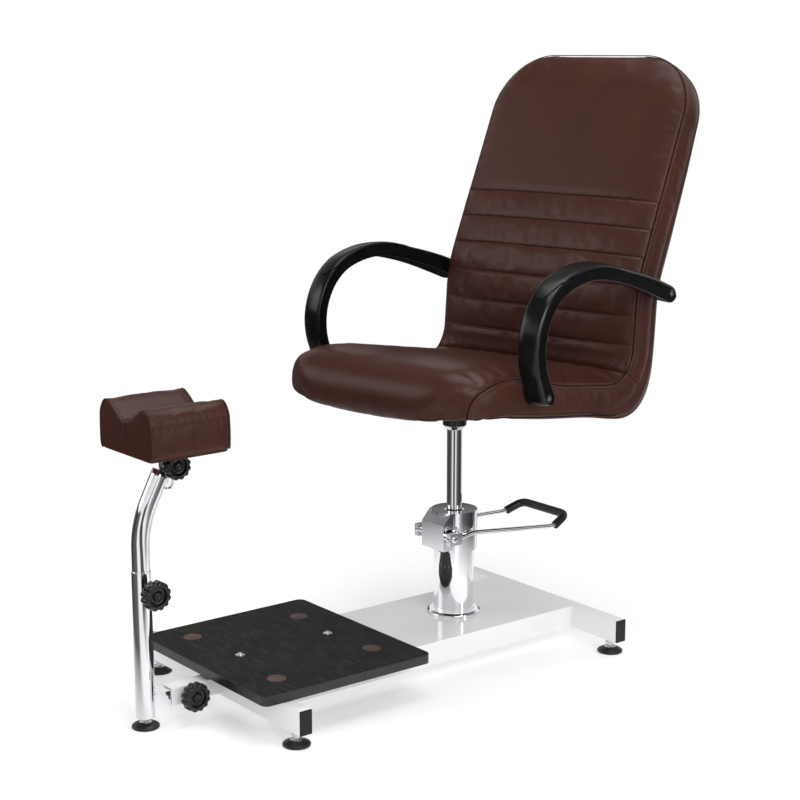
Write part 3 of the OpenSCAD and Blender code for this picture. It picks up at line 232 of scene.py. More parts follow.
def rounded_line(points, bend, steps=8):
    """A bent line: its corners are rounded off, starting bend before each."""
    p = [np.array(q, float) for q in points]
    out = [p[0]]
    for a, b, c in zip(p, p[1:], p[2:]):
        d = min(bend, 0.45 * np.linalg.norm(a - b), 0.45 * np.linalg.norm(c - b))
        u, v = unit(a - b), unit(c - b)
        out += [b + d * ((1 - t) ** 2 * u + t * t * v) for t in np.linspace(0, 1, steps)]
    return np.array(out + [p[-1]])


def join(name, pieces):
    """One object out of several meshes."""
    work = bmesh.new()
    for piece in pieces:
        work.from_mesh(piece.data)
        bpy.data.objects.remove(piece)
    mesh = bpy.data.meshes.new(name)
    work.to_mesh(mesh)
    work.free()
    mesh.shade_smooth()
    whole = bpy.data.objects.new(name, mesh)
    scene.collection.objects.link(whole)
    return whole


def evaluated(piece):
    """The piece's mesh with its modifiers applied."""
    graph = bpy.context.evaluated_depsgraph_get()
    graph.update()
    return bpy.data.meshes.new_from_object(piece.evaluated_get(graph))


def carve(piece, cutters):
    """Cuts the cutters' shapes out of a piece and removes them."""
    for cutter in cutters:
        cut = piece.modifiers.new("cut", "BOOLEAN")
        cut.operation, cut.object, cut.solver = "DIFFERENCE", cutter, "EXACT"
    mesh = evaluated(piece)
    piece.modifiers.clear()
    piece.data = mesh
    mesh.set_sharp_from_angle(angle=math.radians(42))
    for cutter in cutters:
        bpy.data.objects.remove(cutter)
    return piece


def subdivide(piece):
    fine = piece.modifiers.new("fine", "SUBSURF")
    fine.levels = fine.render_levels = 1
    return piece


def points_of(mesh):
    co = np.zeros(len(mesh.vertices) * 3)
    mesh.vertices.foreach_get("co", co)
    return co.reshape(-1, 3)


def swell(piece, free, cap):
    """Blows the cover out as sewn cloth over foam. free is 0 where it is sewn down, and 1 where it may move
    up to cap metres."""
    held = piece.vertex_groups.new(name="sewn")
    for i, f in enumerate(free):
        held.add([i], float(1 - f), "REPLACE")
    cloth = piece.modifiers.new("cloth", "CLOTH")
    set_up = cloth.settings
    set_up.quality, set_up.mass = 4, 0.3
    set_up.tension_stiffness = set_up.compression_stiffness = 18
    set_up.shear_stiffness, set_up.bending_stiffness = 8, 1.2
    set_up.use_pressure, set_up.uniform_pressure_force = True, 4.0
    set_up.vertex_group_mass, set_up.pin_stiffness = "sewn", 1.0
    set_up.shrink_min = -0.012
    set_up.effector_weights.gravity = 0
    cloth.collision_settings.use_collision = False
    cloth.point_cache.frame_start, cloth.point_cache.frame_end = 1, 20
    scene.frame_start, scene.frame_end = 1, 20
    for moment in range(1, 21):
        scene.frame_set(moment)
    blown = evaluated(piece)
    rest = points_of(piece.data)
    step = np.nan_to_num(points_of(blown) - rest)
    length = np.linalg.norm(step, axis=1, keepdims=True)
    room = cap * np.asarray(free)[:, None]
    eased = room * np.tanh(length / np.maximum(room, 1e-9)) / np.maximum(length, 1e-9)
    step *= np.where(length > 1e-9, eased, 0)
    piece.modifiers.clear()
    piece.vertex_groups.clear()
    piece.data.vertices.foreach_set("co", (rest + step).ravel())
    piece.data.update()
    bpy.data.meshes.remove(blown)
    scene.frame_set(1)


def wave(p, seed, count=9):
    """A smooth ripple through points, from -1 to 1, the same every time."""
    rng = np.random.RandomState(seed)
    total = 0.0
    for _ in range(count):
        total = total + np.sin(p @ unit(rng.normal(size=3)) * rng.uniform(0.7, 1.6) + rng.uniform(0, 6.3))
    return total / math.sqrt(count) / 1.3


def bump_out(piece, height):
    """Moves each point of a piece along its normal by height, in metres."""
    normal = np.zeros(len(piece.data.vertices) * 3)
    piece.data.vertices.foreach_get("normal", normal)
    co = points_of(piece.data) + normal.reshape(-1, 3) * np.asarray(height)[:, None]
    piece.data.vertices.foreach_set("co", co.ravel())
    piece.data.update()


def stitches(name, lines, normals, pitch=5.5, length=3.6, thick=0.9):
    """Rows of sewn stitches: short threads that dip at both ends, one every pitch millimetres."""
    verts, faces = [], []
    profile = ((-0.5, 0.25, -0.5), (-0.3, 0.85, 0.05), (0, 1, 0.3), (0.3, 0.85, 0.05), (0.5, 0.25, -0.5))
    for line, normal in zip(lines, normals):
        line, normal = np.asarray(line), np.asarray(normal)
        d = np.concatenate([[0], np.cumsum(np.linalg.norm(np.diff(line, axis=0), axis=1))])
        count = int(d[-1] / (pitch * MM))
        for at in (np.arange(count) + 0.5) * d[-1] / max(count, 1):
            p = np.array([np.interp(at, d, line[:, k]) for k in range(3)])
            q = np.array([np.interp(min(at + 1e-3, d[-1]), d, line[:, k]) for k in range(3)])
            q2 = np.array([np.interp(max(at - 1e-3, 0), d, line[:, k]) for k in range(3)])
            up = unit(np.array([np.interp(at, d, normal[:, k]) for k in range(3)]))
            t = unit(q - q2)
            across = np.cross(t, up)
            o = len(verts)
            for along_it, width, lift in profile:
                c = p + t * along_it * length * MM + up * lift * thick * MM * 0.5
                r = thick * MM / 2 * width
                verts += [c + r * (math.cos(a) * across + math.sin(a) * up) for a in np.radians(range(0, 360, 60))]
            for i in range(4):
                k = o + 6 * i
                faces += [(k + j, k + (j + 1) % 6, k + 6 + (j + 1) % 6, k + 6 + j) for j in range(6)]
            faces += [tuple(o + j for j in range(6)), tuple(o + 24 + j for j in range(6))]
    return solid(name, verts, faces)


# ---- Finishes ----
def hex_colour(code):
    """Linear colour of an sRGB hex value."""
    c = [int(code[i:i + 2], 16) / 255 for i in (1, 3, 5)]
    return tuple(v / 12.92 if v <= 0.04045 else ((v + 0.055) / 1.055) ** 2.4 for v in c) + (1.0,)


def put(tree, kind, feed=None, **settings):
    """Adds a node with its settings; feed gives values and links by input."""
    node = tree.nodes.new(kind)
    for key, value in settings.items():
        setattr(node, key, value)
    for key, value in (feed or {}).items():
        if isinstance(value, bpy.types.NodeSocket):
            tree.links.new(value, node.inputs[key])
        else:
            node.inputs[key].default_value = value
    return node


def ramp(tree, fac, stops):
    """A colour ramp; stops are (place, hex)."""
    node = put(tree, "ShaderNodeValToRGB", {0: fac})
    band = node.color_ramp
    for i, (place, code) in enumerate(stops):
        stop = band.elements[i] if i < 2 else band.elements.new(place)
        stop.position, stop.color = place, hex_colour(code)
    return node.outputs[0]


def remap(tree, value, low, high):
    return put(tree, "ShaderNodeMapRange", {0: value, 3: low, 4: high}).outputs[0]


def finish(name, **sockets):
    """A material and its shader, with the values that are the same all over."""
    material = bpy.data.materials.new(name)
    material.use_nodes = True
    tree = material.node_tree
    shader = next(n for n in tree.nodes if n.type == "BSDF_PRINCIPLED")
    for key, value in sockets.items():
        socket = shader.inputs[key.replace("_", " ")]
        socket.default_value = hex_colour(value) if isinstance(value, str) else value
    return material, tree, shader


def place(tree, scale=(1, 1, 1)):
    """Places on the piece in metres, stretched by scale."""
    coord = put(tree, "ShaderNodeTexCoord").outputs["Object"]
    return put(tree, "ShaderNodeMapping", {0: coord, 3: scale}).outputs[0]


def grain(tree, size, detail=2.0, where=None, rough=0.5):
    """Noise whose lumps are size millimetres across."""
    where = where or place(tree)
    feed = {"Vector": where, "Scale": 1000 / size, "Detail": detail, "Roughness": rough}
    return put(tree, "ShaderNodeTexNoise", feed).outputs[0]


def relief(tree, shader, height, depth, chain=None):
    """Bump of depth millimetres from a height of 0 to 1."""
    feed = {"Height": height, "Distance": depth * MM, "Strength": 1.0}
    if chain:
        feed["Normal"] = chain
    out = put(tree, "ShaderNodeBump", feed).outputs[0]
    tree.links.new(out, shader.inputs["Normal"])
    return out


def leatherette(name, light, dark, rough=(0.31, 0.41)):
    """Vinyl leatherette on knit: calendered with a pebble grain of about 1.2 mm, drawn at 2.4 mm so that it shows.
    It gives a dark brown with a soft sheen that breaks up slightly over the grain."""
    material, tree, shader = finish(name, IOR=1.5, Specular_IOR_Level=0.22)
    where = place(tree)
    pebbles = put(tree, "ShaderNodeTexVoronoi", {"Vector": where, "Scale": 1000 / 2.4, "Randomness": 1.0},
                  feature="SMOOTH_F1").outputs["Distance"]
    cloud = grain(tree, 70, 3, where)
    fine = grain(tree, 9, 3, where)
    feed = {0: cloud, 1: 0.75, 2: remap(tree, fine, 0.0, 0.25)}
    mix = put(tree, "ShaderNodeMath", feed, operation="MULTIPLY_ADD").outputs[0]
    tree.links.new(ramp(tree, mix, ((0.3, dark), (0.7, light))), shader.inputs["Base Color"])
    tree.links.new(remap(tree, grain(tree, 22, 3, where), *rough), shader.inputs["Roughness"])
    soft = relief(tree, shader, grain(tree, 14, 2, where), 0.12)
    relief(tree, shader, pebbles, 0.07, soft)
    return material


def bright_metal(name, colour, rough, lump, depth):
    """Metal: a base colour, a polish that varies a little, and a faint waviness of lump millimetres."""
    material, tree, shader = finish(name, Base_Color=colour, Metallic=1.0)
    where = place(tree)
    tree.links.new(remap(tree, grain(tree, 18, 3, where), *rough), shader.inputs["Roughness"])
    relief(tree, shader, grain(tree, lump, 2, where), depth)
    return material


def moulded(name, light, dark, rough, grit, depth, **sockets):
    """Moulded plastic or rubber: slight colour drift, and a matt texture whose grit is given in millimetres."""
    material, tree, shader = finish(name, IOR=1.5, **sockets)
    where = place(tree)
    tree.links.new(ramp(tree, grain(tree, 30, 3, where), ((0.35, dark), (0.65, light))), shader.inputs["Base Color"])
    tree.links.new(remap(tree, grain(tree, 12, 4, where), *rough), shader.inputs["Roughness"])
    relief(tree, shader, grain(tree, grit, 2, where), depth)
    return material


def laminate_finish():
    """Black oak laminate: printed paper under a textured melamine skin, pores 0.6 mm wide and 20 to 60 mm long,
    drawn about twice as wide so that they show. It gives dull charcoal streaks across the board."""
    material, tree, shader = finish("black_oak_melamine_laminate", IOR=1.5, Specular_IOR_Level=0.1)
    streaks = grain(tree, 34, 4, place(tree, (0.7, 14, 14)), 0.6)
    pores = grain(tree, 12, 3, place(tree, (0.35, 9, 9)), 0.7)
    tone = put(tree, "ShaderNodeMath", {0: streaks, 1: pores}, operation="MULTIPLY").outputs[0]
    charcoal = ramp(tree, tone, ((0.12, "#0A0A0A"), (0.25, "#181818"), (0.4, "#424242")))
    tree.links.new(charcoal, shader.inputs["Base Color"])
    tree.links.new(remap(tree, streaks, 0.42, 0.62), shader.inputs["Roughness"])
    relief(tree, shader, pores, 0.12)
    return material


def ply_finish(name, light, dark):
    """Rotary-cut birch: pale wood with long soft figure."""
    material, tree, shader = finish(name, IOR=1.5)
    figure = grain(tree, 40, 4, place(tree, (4, 0.6, 4)), 0.6)
    tree.links.new(ramp(tree, figure, ((0.3, dark), (0.7, light))), shader.inputs["Base Color"])
    tree.links.new(remap(tree, figure, 0.5, 0.7), shader.inputs["Roughness"])
    relief(tree, shader, figure, 0.1)
    return material


def foot_finish():
    """Glass-filled nylon pad, black and satin, on a zinc-plated steel stud: the stud starts 11.5 mm above the floor."""
    material, tree, shader = finish("nylon_foot_on_zinc_plated_stud")
    where = place(tree)
    up = put(tree, "ShaderNodeSeparateXYZ", {0: where}).outputs[2]
    stud = put(tree, "ShaderNodeMath", {0: up, 1: 0.0115}, operation="GREATER_THAN").outputs[0]
    tree.links.new(stud, shader.inputs["Metallic"])
    pad = ramp(tree, grain(tree, 10, 3, where), ((0.3, "#0D0D0E"), (0.7, "#1A1A1B")))
    both = put(tree, "ShaderNodeMix", {0: stud, 6: pad, 7: hex_colour("#C9CACC")}, data_type="RGBA").outputs[2]
    tree.links.new(both, shader.inputs["Base Color"])
    tree.links.new(remap(tree, stud, 0.38, 0.2), shader.inputs["Roughness"])
    thread = put(tree, "ShaderNodeTexWave", {"Vector": where, "Scale": 1000 / 1.5 / 20, "Distortion": 0.0},
                 wave_type="BANDS", bands_direction="Z").outputs[1]
    turned = put(tree, "ShaderNodeMath", {0: thread, 1: stud}, operation="MULTIPLY").outputs[0]
    relief(tree, shader, turned, 0.4)
    return material


def coat_finish():
    """White epoxy powder coat on steel: glossy, with the faint orange peel of about 3 mm that stoved powder leaves."""
    material, tree, shader = finish("white_powder_coated_steel", IOR=1.5, Coat_Weight=0.5, Coat_Roughness=0.06)
    where = place(tree)
    white = ramp(tree, grain(tree, 120, 2, where), ((0.3, "#F4F5F6"), (0.7, "#F7F7F8")))
    tree.links.new(white, shader.inputs["Base Color"])
    tree.links.new(remap(tree, grain(tree, 25, 3, where), 0.16, 0.26), shader.inputs["Roughness"])
    relief(tree, shader, grain(tree, 3.2, 2, where), 0.02)
    return material


HIDE = leatherette("brown_vinyl_leatherette", "#44241B", "#3B1F18")
# The boxing's copy of the hide: its colour, a touch apart from the face's, is painted light and shade of the sides
HIDE_PAINTED_SIDE_TONE = leatherette("brown_vinyl_leatherette_painted_side_tone", "#48281F", "#3E221B", (0.34, 0.45))
# Painted shade of the seam groove: the turned edge of the cover down in a seam, drawn as a dark line so that the eye
# can follow the seam
SEAM_SHADE = moulded("leatherette_painted_seam_shade", "#23130F", "#1B0E0B", (0.6, 0.7), 1.2, 0.02, Specular_IOR_Level=0.05)
# Bonded polyester thread: a shade lighter than the cover, so that each stitch can be told
THREAD = moulded("bonded_polyester_thread", "#6A463B", "#573830", (0.5, 0.65), 0.6, 0.1)
# Chrome plate on drawn steel tube: mirror bright, with the very slight waviness of a buffed tube
CHROME = bright_metal("chrome_plated_steel", "#ECEDEF", (0.035, 0.07), 26, 0.035)
# Hard chrome on a ground piston rod: the same, a little softer from the grinding
ROD_CHROME = bright_metal("hard_chrome_ground_rod", "#DEDEE0", (0.05, 0.08), 9, 0.01)
# Zinc plate on fasteners: bluish grey and hazy
ZINC = bright_metal("zinc_plated_steel", "#BFC2C6", (0.22, 0.34), 4, 0.03)
POWDER = coat_finish()
# Moulded nylon with a spark-eroded face: black with a broad soft sheen
ABS = moulded("moulded_black_nylon", "#101011", "#0A0A0B", (0.16, 0.24), 1.6, 0.004, Specular_IOR_Level=0.3)
# The beads along the arm's edges come off polished parts of the mould, so they are glossier
BEAD = moulded("polished_black_nylon", "#1C1C1D", "#141415", (0.06, 0.1), 3.0, 0.002, Specular_IOR_Level=0.9)
# Painted shade of the open joint round the pads: a dead matt near-black line, as the inside of a gap looks
JOINT_SHADE = moulded(
    "painted_shade_of_arm_pad_joint", "#070707", "#040404", (0.8, 0.9), 1.5, 0.02, Specular_IOR_Level=0.05)
# Integral-skin polyurethane foam of the arm pads: slightly softer sheen than the arm
PAD_SKIN = moulded("integral_skin_polyurethane", "#101010", "#0A0A0A", (0.26, 0.32), 2.4, 0.006, Specular_IOR_Level=0.3)
# Phenolic of the clamp knobs: black, compression moulded and glossy
PHENOLIC = moulded("compression_moulded_phenolic", "#141415", "#0B0B0C", (0.2, 0.32), 2.0, 0.02)
RUBBER = moulded("extruded_black_rubber", "#151515", "#0B0B0B", (0.36, 0.5), 1.6, 0.05)
# Filled brown rubber of the grip pads: dull, with a cast pimple of about 1.5 mm
GRIP = moulded("cast_brown_rubber", "#5E4440", "#4A3430", (0.55, 0.72), 1.6, 0.25)
# Extruded PVC edge band: black and glossier than the board's face
BAND = moulded("extruded_pvc_edge_band", "#242425", "#171718", (0.24, 0.34), 5.0, 0.03)
# Semi-gloss black enamel on the swivel socket and the seat plate
ENAMEL = moulded("black_stoved_enamel", "#161616", "#0E0E0E", (0.3, 0.42), 3.0, 0.03)
LAMINATE = laminate_finish()
PLY = ply_finish("moulded_birch_plywood", "#CBB08A", "#B3946A")
FOOT = foot_finish()

FINISH_OF = {
    POWDER: "base_beam rear_bar front_bar leg_socket",
    ABS: "bar_end_caps",
    ZINC: "foot_lock_nuts board_screws pump_bolts plate_screws arm_bolts spindle_screws release_valve "
          "plunger_spring piston_head pump_plunger lever_finger pump_cylinder",
    LAMINATE: "foot_board",
    BAND: "board_edging",
    GRIP: "grip_pads",
    FOOT: "rear_left_foot rear_right_foot front_left_foot front_right_foot post_foot",
    CHROME: "column_ring oil_tank pump_head gland_nut pivot_shaft pedal_clamps slide_arm post_tube "
            "cushion_spindle",
    ROD_CHROME: "piston_rod",
    RUBBER: "rod_seal piston_seal",
    ENAMEL: "swivel_socket seat_plate cushion_board",
    PLY: "seat_shell arm_cleats",
}
# Edge rounding of the rigid nodes, in millimetres
ROUNDED = {
    "base_beam": 2.2, "rear_bar": 2.0, "front_bar": 2.0, "leg_socket": 1.8, "bar_end_caps": 1.2, "foot_board": 0.5,
    "board_edging": 1.6, "grip_pads": 0.5, "board_screws": 0.5, "column_ring": 0.8, "oil_tank": 0.5, "pump_head": 1.6,
    "gland_nut": 0.5, "pivot_shaft": 0.6, "pedal_clamps": 1.8, "piston_rod": 0.5, "swivel_socket": 1.0, "seat_plate": 0.8,
    "slide_arm": 1.6, "post_tube": 0.7, "foot_lock_nuts": 0.5, "arm_bolts": 0.5, "release_valve": 0.6, "pump_bolts": 0.5,
}


def smoothing_nodes():
    """Shades faces smooth and keeps edges sharper than 45 degrees sharp."""
    group = bpy.data.node_groups.new("shade_by_angle", "GeometryNodeTree")
    group.interface.new_socket("Geometry", in_out="INPUT", socket_type="NodeSocketGeometry")
    group.interface.new_socket("Geometry", in_out="OUTPUT", socket_type="NodeSocketGeometry")
    start, end = group.nodes.new("NodeGroupInput"), group.nodes.new("NodeGroupOutput")
    faces = put(group, "GeometryNodeSetShadeSmooth", {0: start.outputs[0], 2: True}, domain="FACE")
    angle = put(group, "GeometryNodeInputMeshEdgeAngle")
    steep = {0: angle.outputs[0], 1: math.radians(45)}
    sharp = put(group, "FunctionNodeCompare", steep, data_type="FLOAT", operation="GREATER_THAN")
    keep = {0: faces.outputs[0], 1: sharp.outputs[0], 2: False}
    edges = put(group, "GeometryNodeSetShadeSmooth", keep, domain="EDGE")
    group.links.new(edges.outputs[0], end.inputs[0])
    return group


SHADE = smoothing_nodes()


def soften(piece, width=0.0):
    """Joins a solid's flat facets, rounds its edges by width millimetres and shades it smooth, all as modifiers."""
    piece.modifiers.new("weld", "WELD").merge_threshold = 1e-6
    if width:
        flat = piece.modifiers.new("flat", "DECIMATE")
        flat.decimate_type, flat.angle_limit = "DISSOLVE", math.radians(0.6)
        edge = piece.modifiers.new("edge", "BEVEL")
        edge.width, edge.segments, edge.limit_method, edge.angle_limit = width * MM, 3, "ANGLE", math.radians(40)
        edge.miter_outer = "MITER_ARC"
    smooth = piece.modifiers.new("smooth", "NODES")
    smooth.node_group = SHADE
    even = piece.modifiers.new("even", "WEIGHTED_NORMAL")
    even.keep_sharp, even.weight = True, 90


for material, names in FINISH_OF.items():
    for name in names.split():
        nodes[name].data.materials.clear()
        nodes[name].data.materials.append(material)
        soften(nodes[name], ROUNDED.get(name, 0.0))


def fit(piece, body, slot, material, *stands_for):
    """Gives a piece its finish, hangs it on its body and hides the nodes it stands for."""
    piece.data.materials.clear()
    piece.data.materials.append(material)
    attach(piece, body)
    if stands_for:
        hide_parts(*stands_for)
    return piece


# ---- Seat and back upholstery ----
steps = np.linspace(0, 1, 37)
FACE_V = 1.25 * steps - 0.25 * steps ** 4
FACE_U = np.concatenate([-FACE_V[:0:-1], FACE_V])
BOX_V = np.array([0.028, 0.052, 0.078, 0.104, 0.13, 0.165, 0.21, 0.28, 0.37, 0.47, 0.57, 0.67, 0.78, 0.9, 0.985])
UNDER_ROUND = 32.0
# How far the edge seam runs below the side line, by distance along it: low round the front roll, then up on the face
SEAM_AT = ((0, 24), (20, 23), (57, 16), (85, 2), (113, -6.6), (154, -10.6), (201, -14), (261, -8), (320, 0), (400, 0))


def seam_drop(s):
    near = s + np.linspace(-16, 16, 9)
    return float(np.mean(np.interp(near, *zip(*SEAM_AT)))) if s < 340 else 0.0


def crown_at(s):
    """Height of the seat's crown at s: low round the front edge and into the crease."""
    if s < NOSE_L:
        return SEAT_CROWN * (0.15 + 0.85 * math.sin(math.pi / 2 * s / NOSE_L))
    return SEAT_CROWN * min(1 - 0.35 * max(0, s - RUN_S) / 300, 0.2 + (CREASE_S - s) / 90)


def low_back(s):
    """1 round the fold and the lower back, where the sides are fullest, and 0 elsewhere."""
    near = s + np.linspace(-35, 35, 9)
    at = (RUN_S, RUN_S + 90, FOLD_S - 60, FOLD_S + 65, BACK_S + 230, TOP_S - 130)
    return float(np.mean(np.interp(near, at, (0, 0.3, 0.35, 1.2, 1.1, 0))))


def bulge_at_lip(s):
    """How far the boxing still stands out where it meets the rear cover."""
    runs_on = 1 + 0.25 * np.clip((s - NOSE_L) / 80, 0, 1)
    return (4.0 + 3.0 * low_back(s)) * math.sin(math.pi / runs_on) ** 0.8


def plump_at(x, s, w):
    """How far the face of the back stands up at x, inside a seam at w."""
    full = PLUMP * np.clip((s - CREASE_S) / 50, 0, 1) * np.clip((TOP_S - s) / 60, 0, 1)
    return full * (1 - np.exp((x - w) / 7))


def puff_at(s):
    """Share of the back's crown at s: it swells a little between two channels."""
    between = (s - CHANNELS[0] + 4 * CHANNEL_PITCH) % CHANNEL_PITCH
    return 0.94 + 0.06 * math.sin(math.pi * between / CHANNEL_PITCH)


def into_crease(d):
    """How far the cover dips and draws in at d from the crease between seat and back."""
    return 5.5 * math.exp(-(d / 5.0) ** 2), 0.9 * math.exp(-(d / 2.2) ** 2)


def boxing_ripple(s, seed):
    return 0.3 * wave(np.stack([np.full(len(BOX_V), s / 40), BOX_V * 2, 0 * BOX_V], -1), seed)


def half_section(s, rise, power, deep, inset=0.0):
    """Half a pad's outline at s, from the middle of its face over the edge and down to its lip: points of across and
    above, the distance along it, where the seam crosses it, and its outward normals."""
    e = side(s)
    w = half_behind(e[0]) if s < RUN_S else half_at(s)
    x = w * (1 - (1 - np.linspace(0, 1, 120)) ** 2)
    d = np.linspace(0, 1, 60)[1:] * deep
    out = half_behind(e[0] + d * math.sin(math.radians(e[2]))) if s < RUN_S else w
    # The boxing bulges; behind the front roll it runs on into the rear cover
    runs_on = 1 + 0.25 * np.clip((s - NOSE_L) / 80, 0, 1)
    bulge = 4.0 + 3.0 * low_back(s)
    across = np.concatenate([x, out + bulge * np.sin(math.pi * d / deep / runs_on) ** 0.8])
    above = np.concatenate([rise * (1 - (x / w) ** power) + plump_at(x, s, w), -d])
    soft = 11.0 * np.clip((330 - s) / 120, 0, 1)
    line = evenly(np.stack([across, above, 0 * above], -1), 1.0)[:, :2]
    if soft > 0.5:
        reach = int(3 * soft)
        weight = np.exp(-(np.arange(-reach, reach + 1) / soft) ** 2)
        start = line[reach:0:-1] * [-1, 1]
        finish_at = 2 * line[-1] - line[-2:-reach - 2:-1]
        long = np.concatenate([start, line, finish_at])
        line = np.stack([np.convolve(long[:, k], weight / weight.sum(), "valid") for k in (0, 1)], -1)
    run = np.concatenate([[0], np.cumsum(np.linalg.norm(np.diff(line, axis=0), axis=1))])
    t = unit(np.gradient(line, axis=0))
    normal = np.stack([-t[:, 1], t[:, 0]], -1)
    edge = len(line) - np.argmax((line[:, 1] > -seam_drop(s))[::-1]) - 1
    at = min(run[edge], run[-1] - 6)
    # A sharp valley at the seam, then the low ridge of the lap that is stitched down beside it
    past = run - at
    lap = np.clip(past / 1.6, 0, 1) * np.clip((7.6 - past) / 1.6, 0, 1)
    dip = inset + 2.3 * np.exp(-(past / 1.5) ** 2) + 0.5 * np.exp(-((past - 8.5) / 2.5) ** 2) - 0.9 * lap
    rise_up = 0 * run
    if s < NOSE_L:
        frontness = (1 - s / NOSE_L) * np.clip(1 + line[:, 1] / deep, 0, 1)
        rise_up = 13 * frontness * (line[:, 0] / SEAT_HALF) ** 2
        # The lower front edge is rounded, more so round the corners
        a = math.radians(e[2])
        high = e[1] + line[:, 1] * math.cos(a) - SIDE_START[1] + 2
        soft_edge = round_in(high, UNDER_ROUND) * np.clip(line[:, 0] / SEAT_HALF, 0, 1) ** 2
        line[:, 0] -= soft_edge
    return line, run, at, normal, dip, rise_up


def on_section(section, s, at, out=0.0, side_x=1):
    """Points of the right or left half of a section at distances at along it, raised by out."""
    line, run, seam, normal, dip, rise_up = section
    out = out - np.interp(at, run, dip)
    x, n = (np.interp(at, run, line[:, k]) + np.interp(at, run, normal[:, k]) * out for k in (0, 1))
    p = above_side(side_x * x, s, n)
    p[..., 2] += np.interp(at, run, rise_up) * MM
    return p


def pad_ring(s, rise, dip, lip, under, inset=0.0, power=5):
    """One ring of an upholstered pad: crowned face, boxing that bulges, and an underside that clears the shell."""
    section = half_section(s, rise, power, lip, inset)
    run, seam = section[1], section[2]
    face_at, box_at = FACE_V * seam, seam + BOX_V * (run[-1] - seam)
    sink = dip * (0.35 + 0.65 * (1 - FACE_V ** 8))
    face = [on_section(section, s, face_at, -sink, k) for k in (-1, 1)]
    box = [on_section(section, s, box_at, 0.0, k) for k in (-1, 1)]
    e = side(s)
    w = (half_at(s) if s >= NOSE_L else half_behind(e[0] + lip * math.sin(math.radians(e[2])))) - inset
    near_edge = (1 - np.abs(FACE_U)) * w
    below = above_side(FACE_U * (w - 1), s, np.where(near_edge < 11, inset - lip, inset - under))[::-1]
    return np.concatenate([face[0][:0:-1], face[1], box[1], below, box[0][::-1]])


def freedom(stations, sewn_at, reach=9.0):
    """How free each point of a pad is: 0 at the welt, at the seams across it and underneath."""
    m, k = len(FACE_U), len(BOX_V)
    rows = []
    for s in stations:
        w = half_at(s)
        seam = min([1.0] + [abs(s - c) / reach for c in sewn_at])
        face = np.clip((1 - np.abs(FACE_U)) * w / 16, 0, 1) * np.clip(seam, 0, 1)
        boxing = np.clip(np.minimum(BOX_V, 1 - BOX_V) / 0.3, 0, 1) * min(1, seam + 0.3)
        rows.append(np.concatenate([face, boxing, np.zeros(m), boxing]))
    return np.concatenate(rows)


def seat_rings():
    nose = [9.0 * (1 - math.cos(math.radians(a))) for a in (0, 25, 50, 75)]
    crease = [CREASE_S - d for d in (12, 8.5, 5.5, 3, 1.4, 0.3)]
    stations = np.array(nose + list(np.arange(12, CREASE_S - 14, 6.2)) + crease)
    rings = []
    for i, s in enumerate(stations):
        inset = 9.0 * (1 - math.sin(math.radians((0, 25, 50, 75)[i]))) if i < 4 else 0.0
        deep = NOSE_R - 2 if s <= NOSE_L else FOAM + SHELL
        blend = np.clip((s - NOSE_L) / 30, 0, 1)
        under = (NOSE_R - 2) * (1 - blend) + FOAM * blend
        dip, drawn = into_crease(CREASE_S - s)
        rings.append(pad_ring(s, crown_at(s), dip, deep, under, inset + drawn, 10))
    return stations, rings


def seat_pad():
    stations, rings = seat_rings()
    pad = skin("seat_pad", rings, strip=len(FACE_U))
    swell(pad, freedom(stations, (-40.0, CREASE_S)), 2.7 * MM)
    m = len(FACE_U)
    height = []
    for s in stations:
        u, x = FACE_U, FACE_U * half_at(s)
        soft = wave(np.stack([x / 45, np.full_like(x, s / 38), 0 * x], -1), 11)
        # Short gathers that run out of the crease, and drag lines beside the fold's corners
        folds = np.maximum(0, np.sin(x / 9.5 + 1.3 * np.sin(x / 31 + s / 60))) ** 2
        gather = np.exp(-((CREASE_S - s) / 60) ** 2) * folds
        beside_fold = np.exp(-((np.abs(x) - 190) / 32) ** 2 - ((s - CREASE_S + 75) / 36) ** 2)
        corner = beside_fold * np.sin((s + np.abs(x) * 0.55) / 5.2)
        face = (0.45 * soft - 1.0 * gather * (0.5 + 0.5 * wave(np.stack([x / 60, 0 * x, 0 * x], -1), 3)) + 0.7 * corner)
        face *= np.clip((1 - np.abs(u)) * 12, 0, 1)
        boxing = boxing_ripple(s, 5)
        height.append(np.concatenate([face, boxing, np.zeros(m), boxing]))
    bump_out(pad, np.concatenate(height) * MM)
    return subdivide(pad)


def channel_dip(s):
    """Depth of the sewn channels at s: a narrow pull at the thread and a wide soft shoulder."""
    d = np.abs(s - CHANNELS)
    return float(np.max(2.9 * np.exp(-(d / 1.8) ** 2) + 0.5 * np.exp(-(d / 7.0) ** 2)))


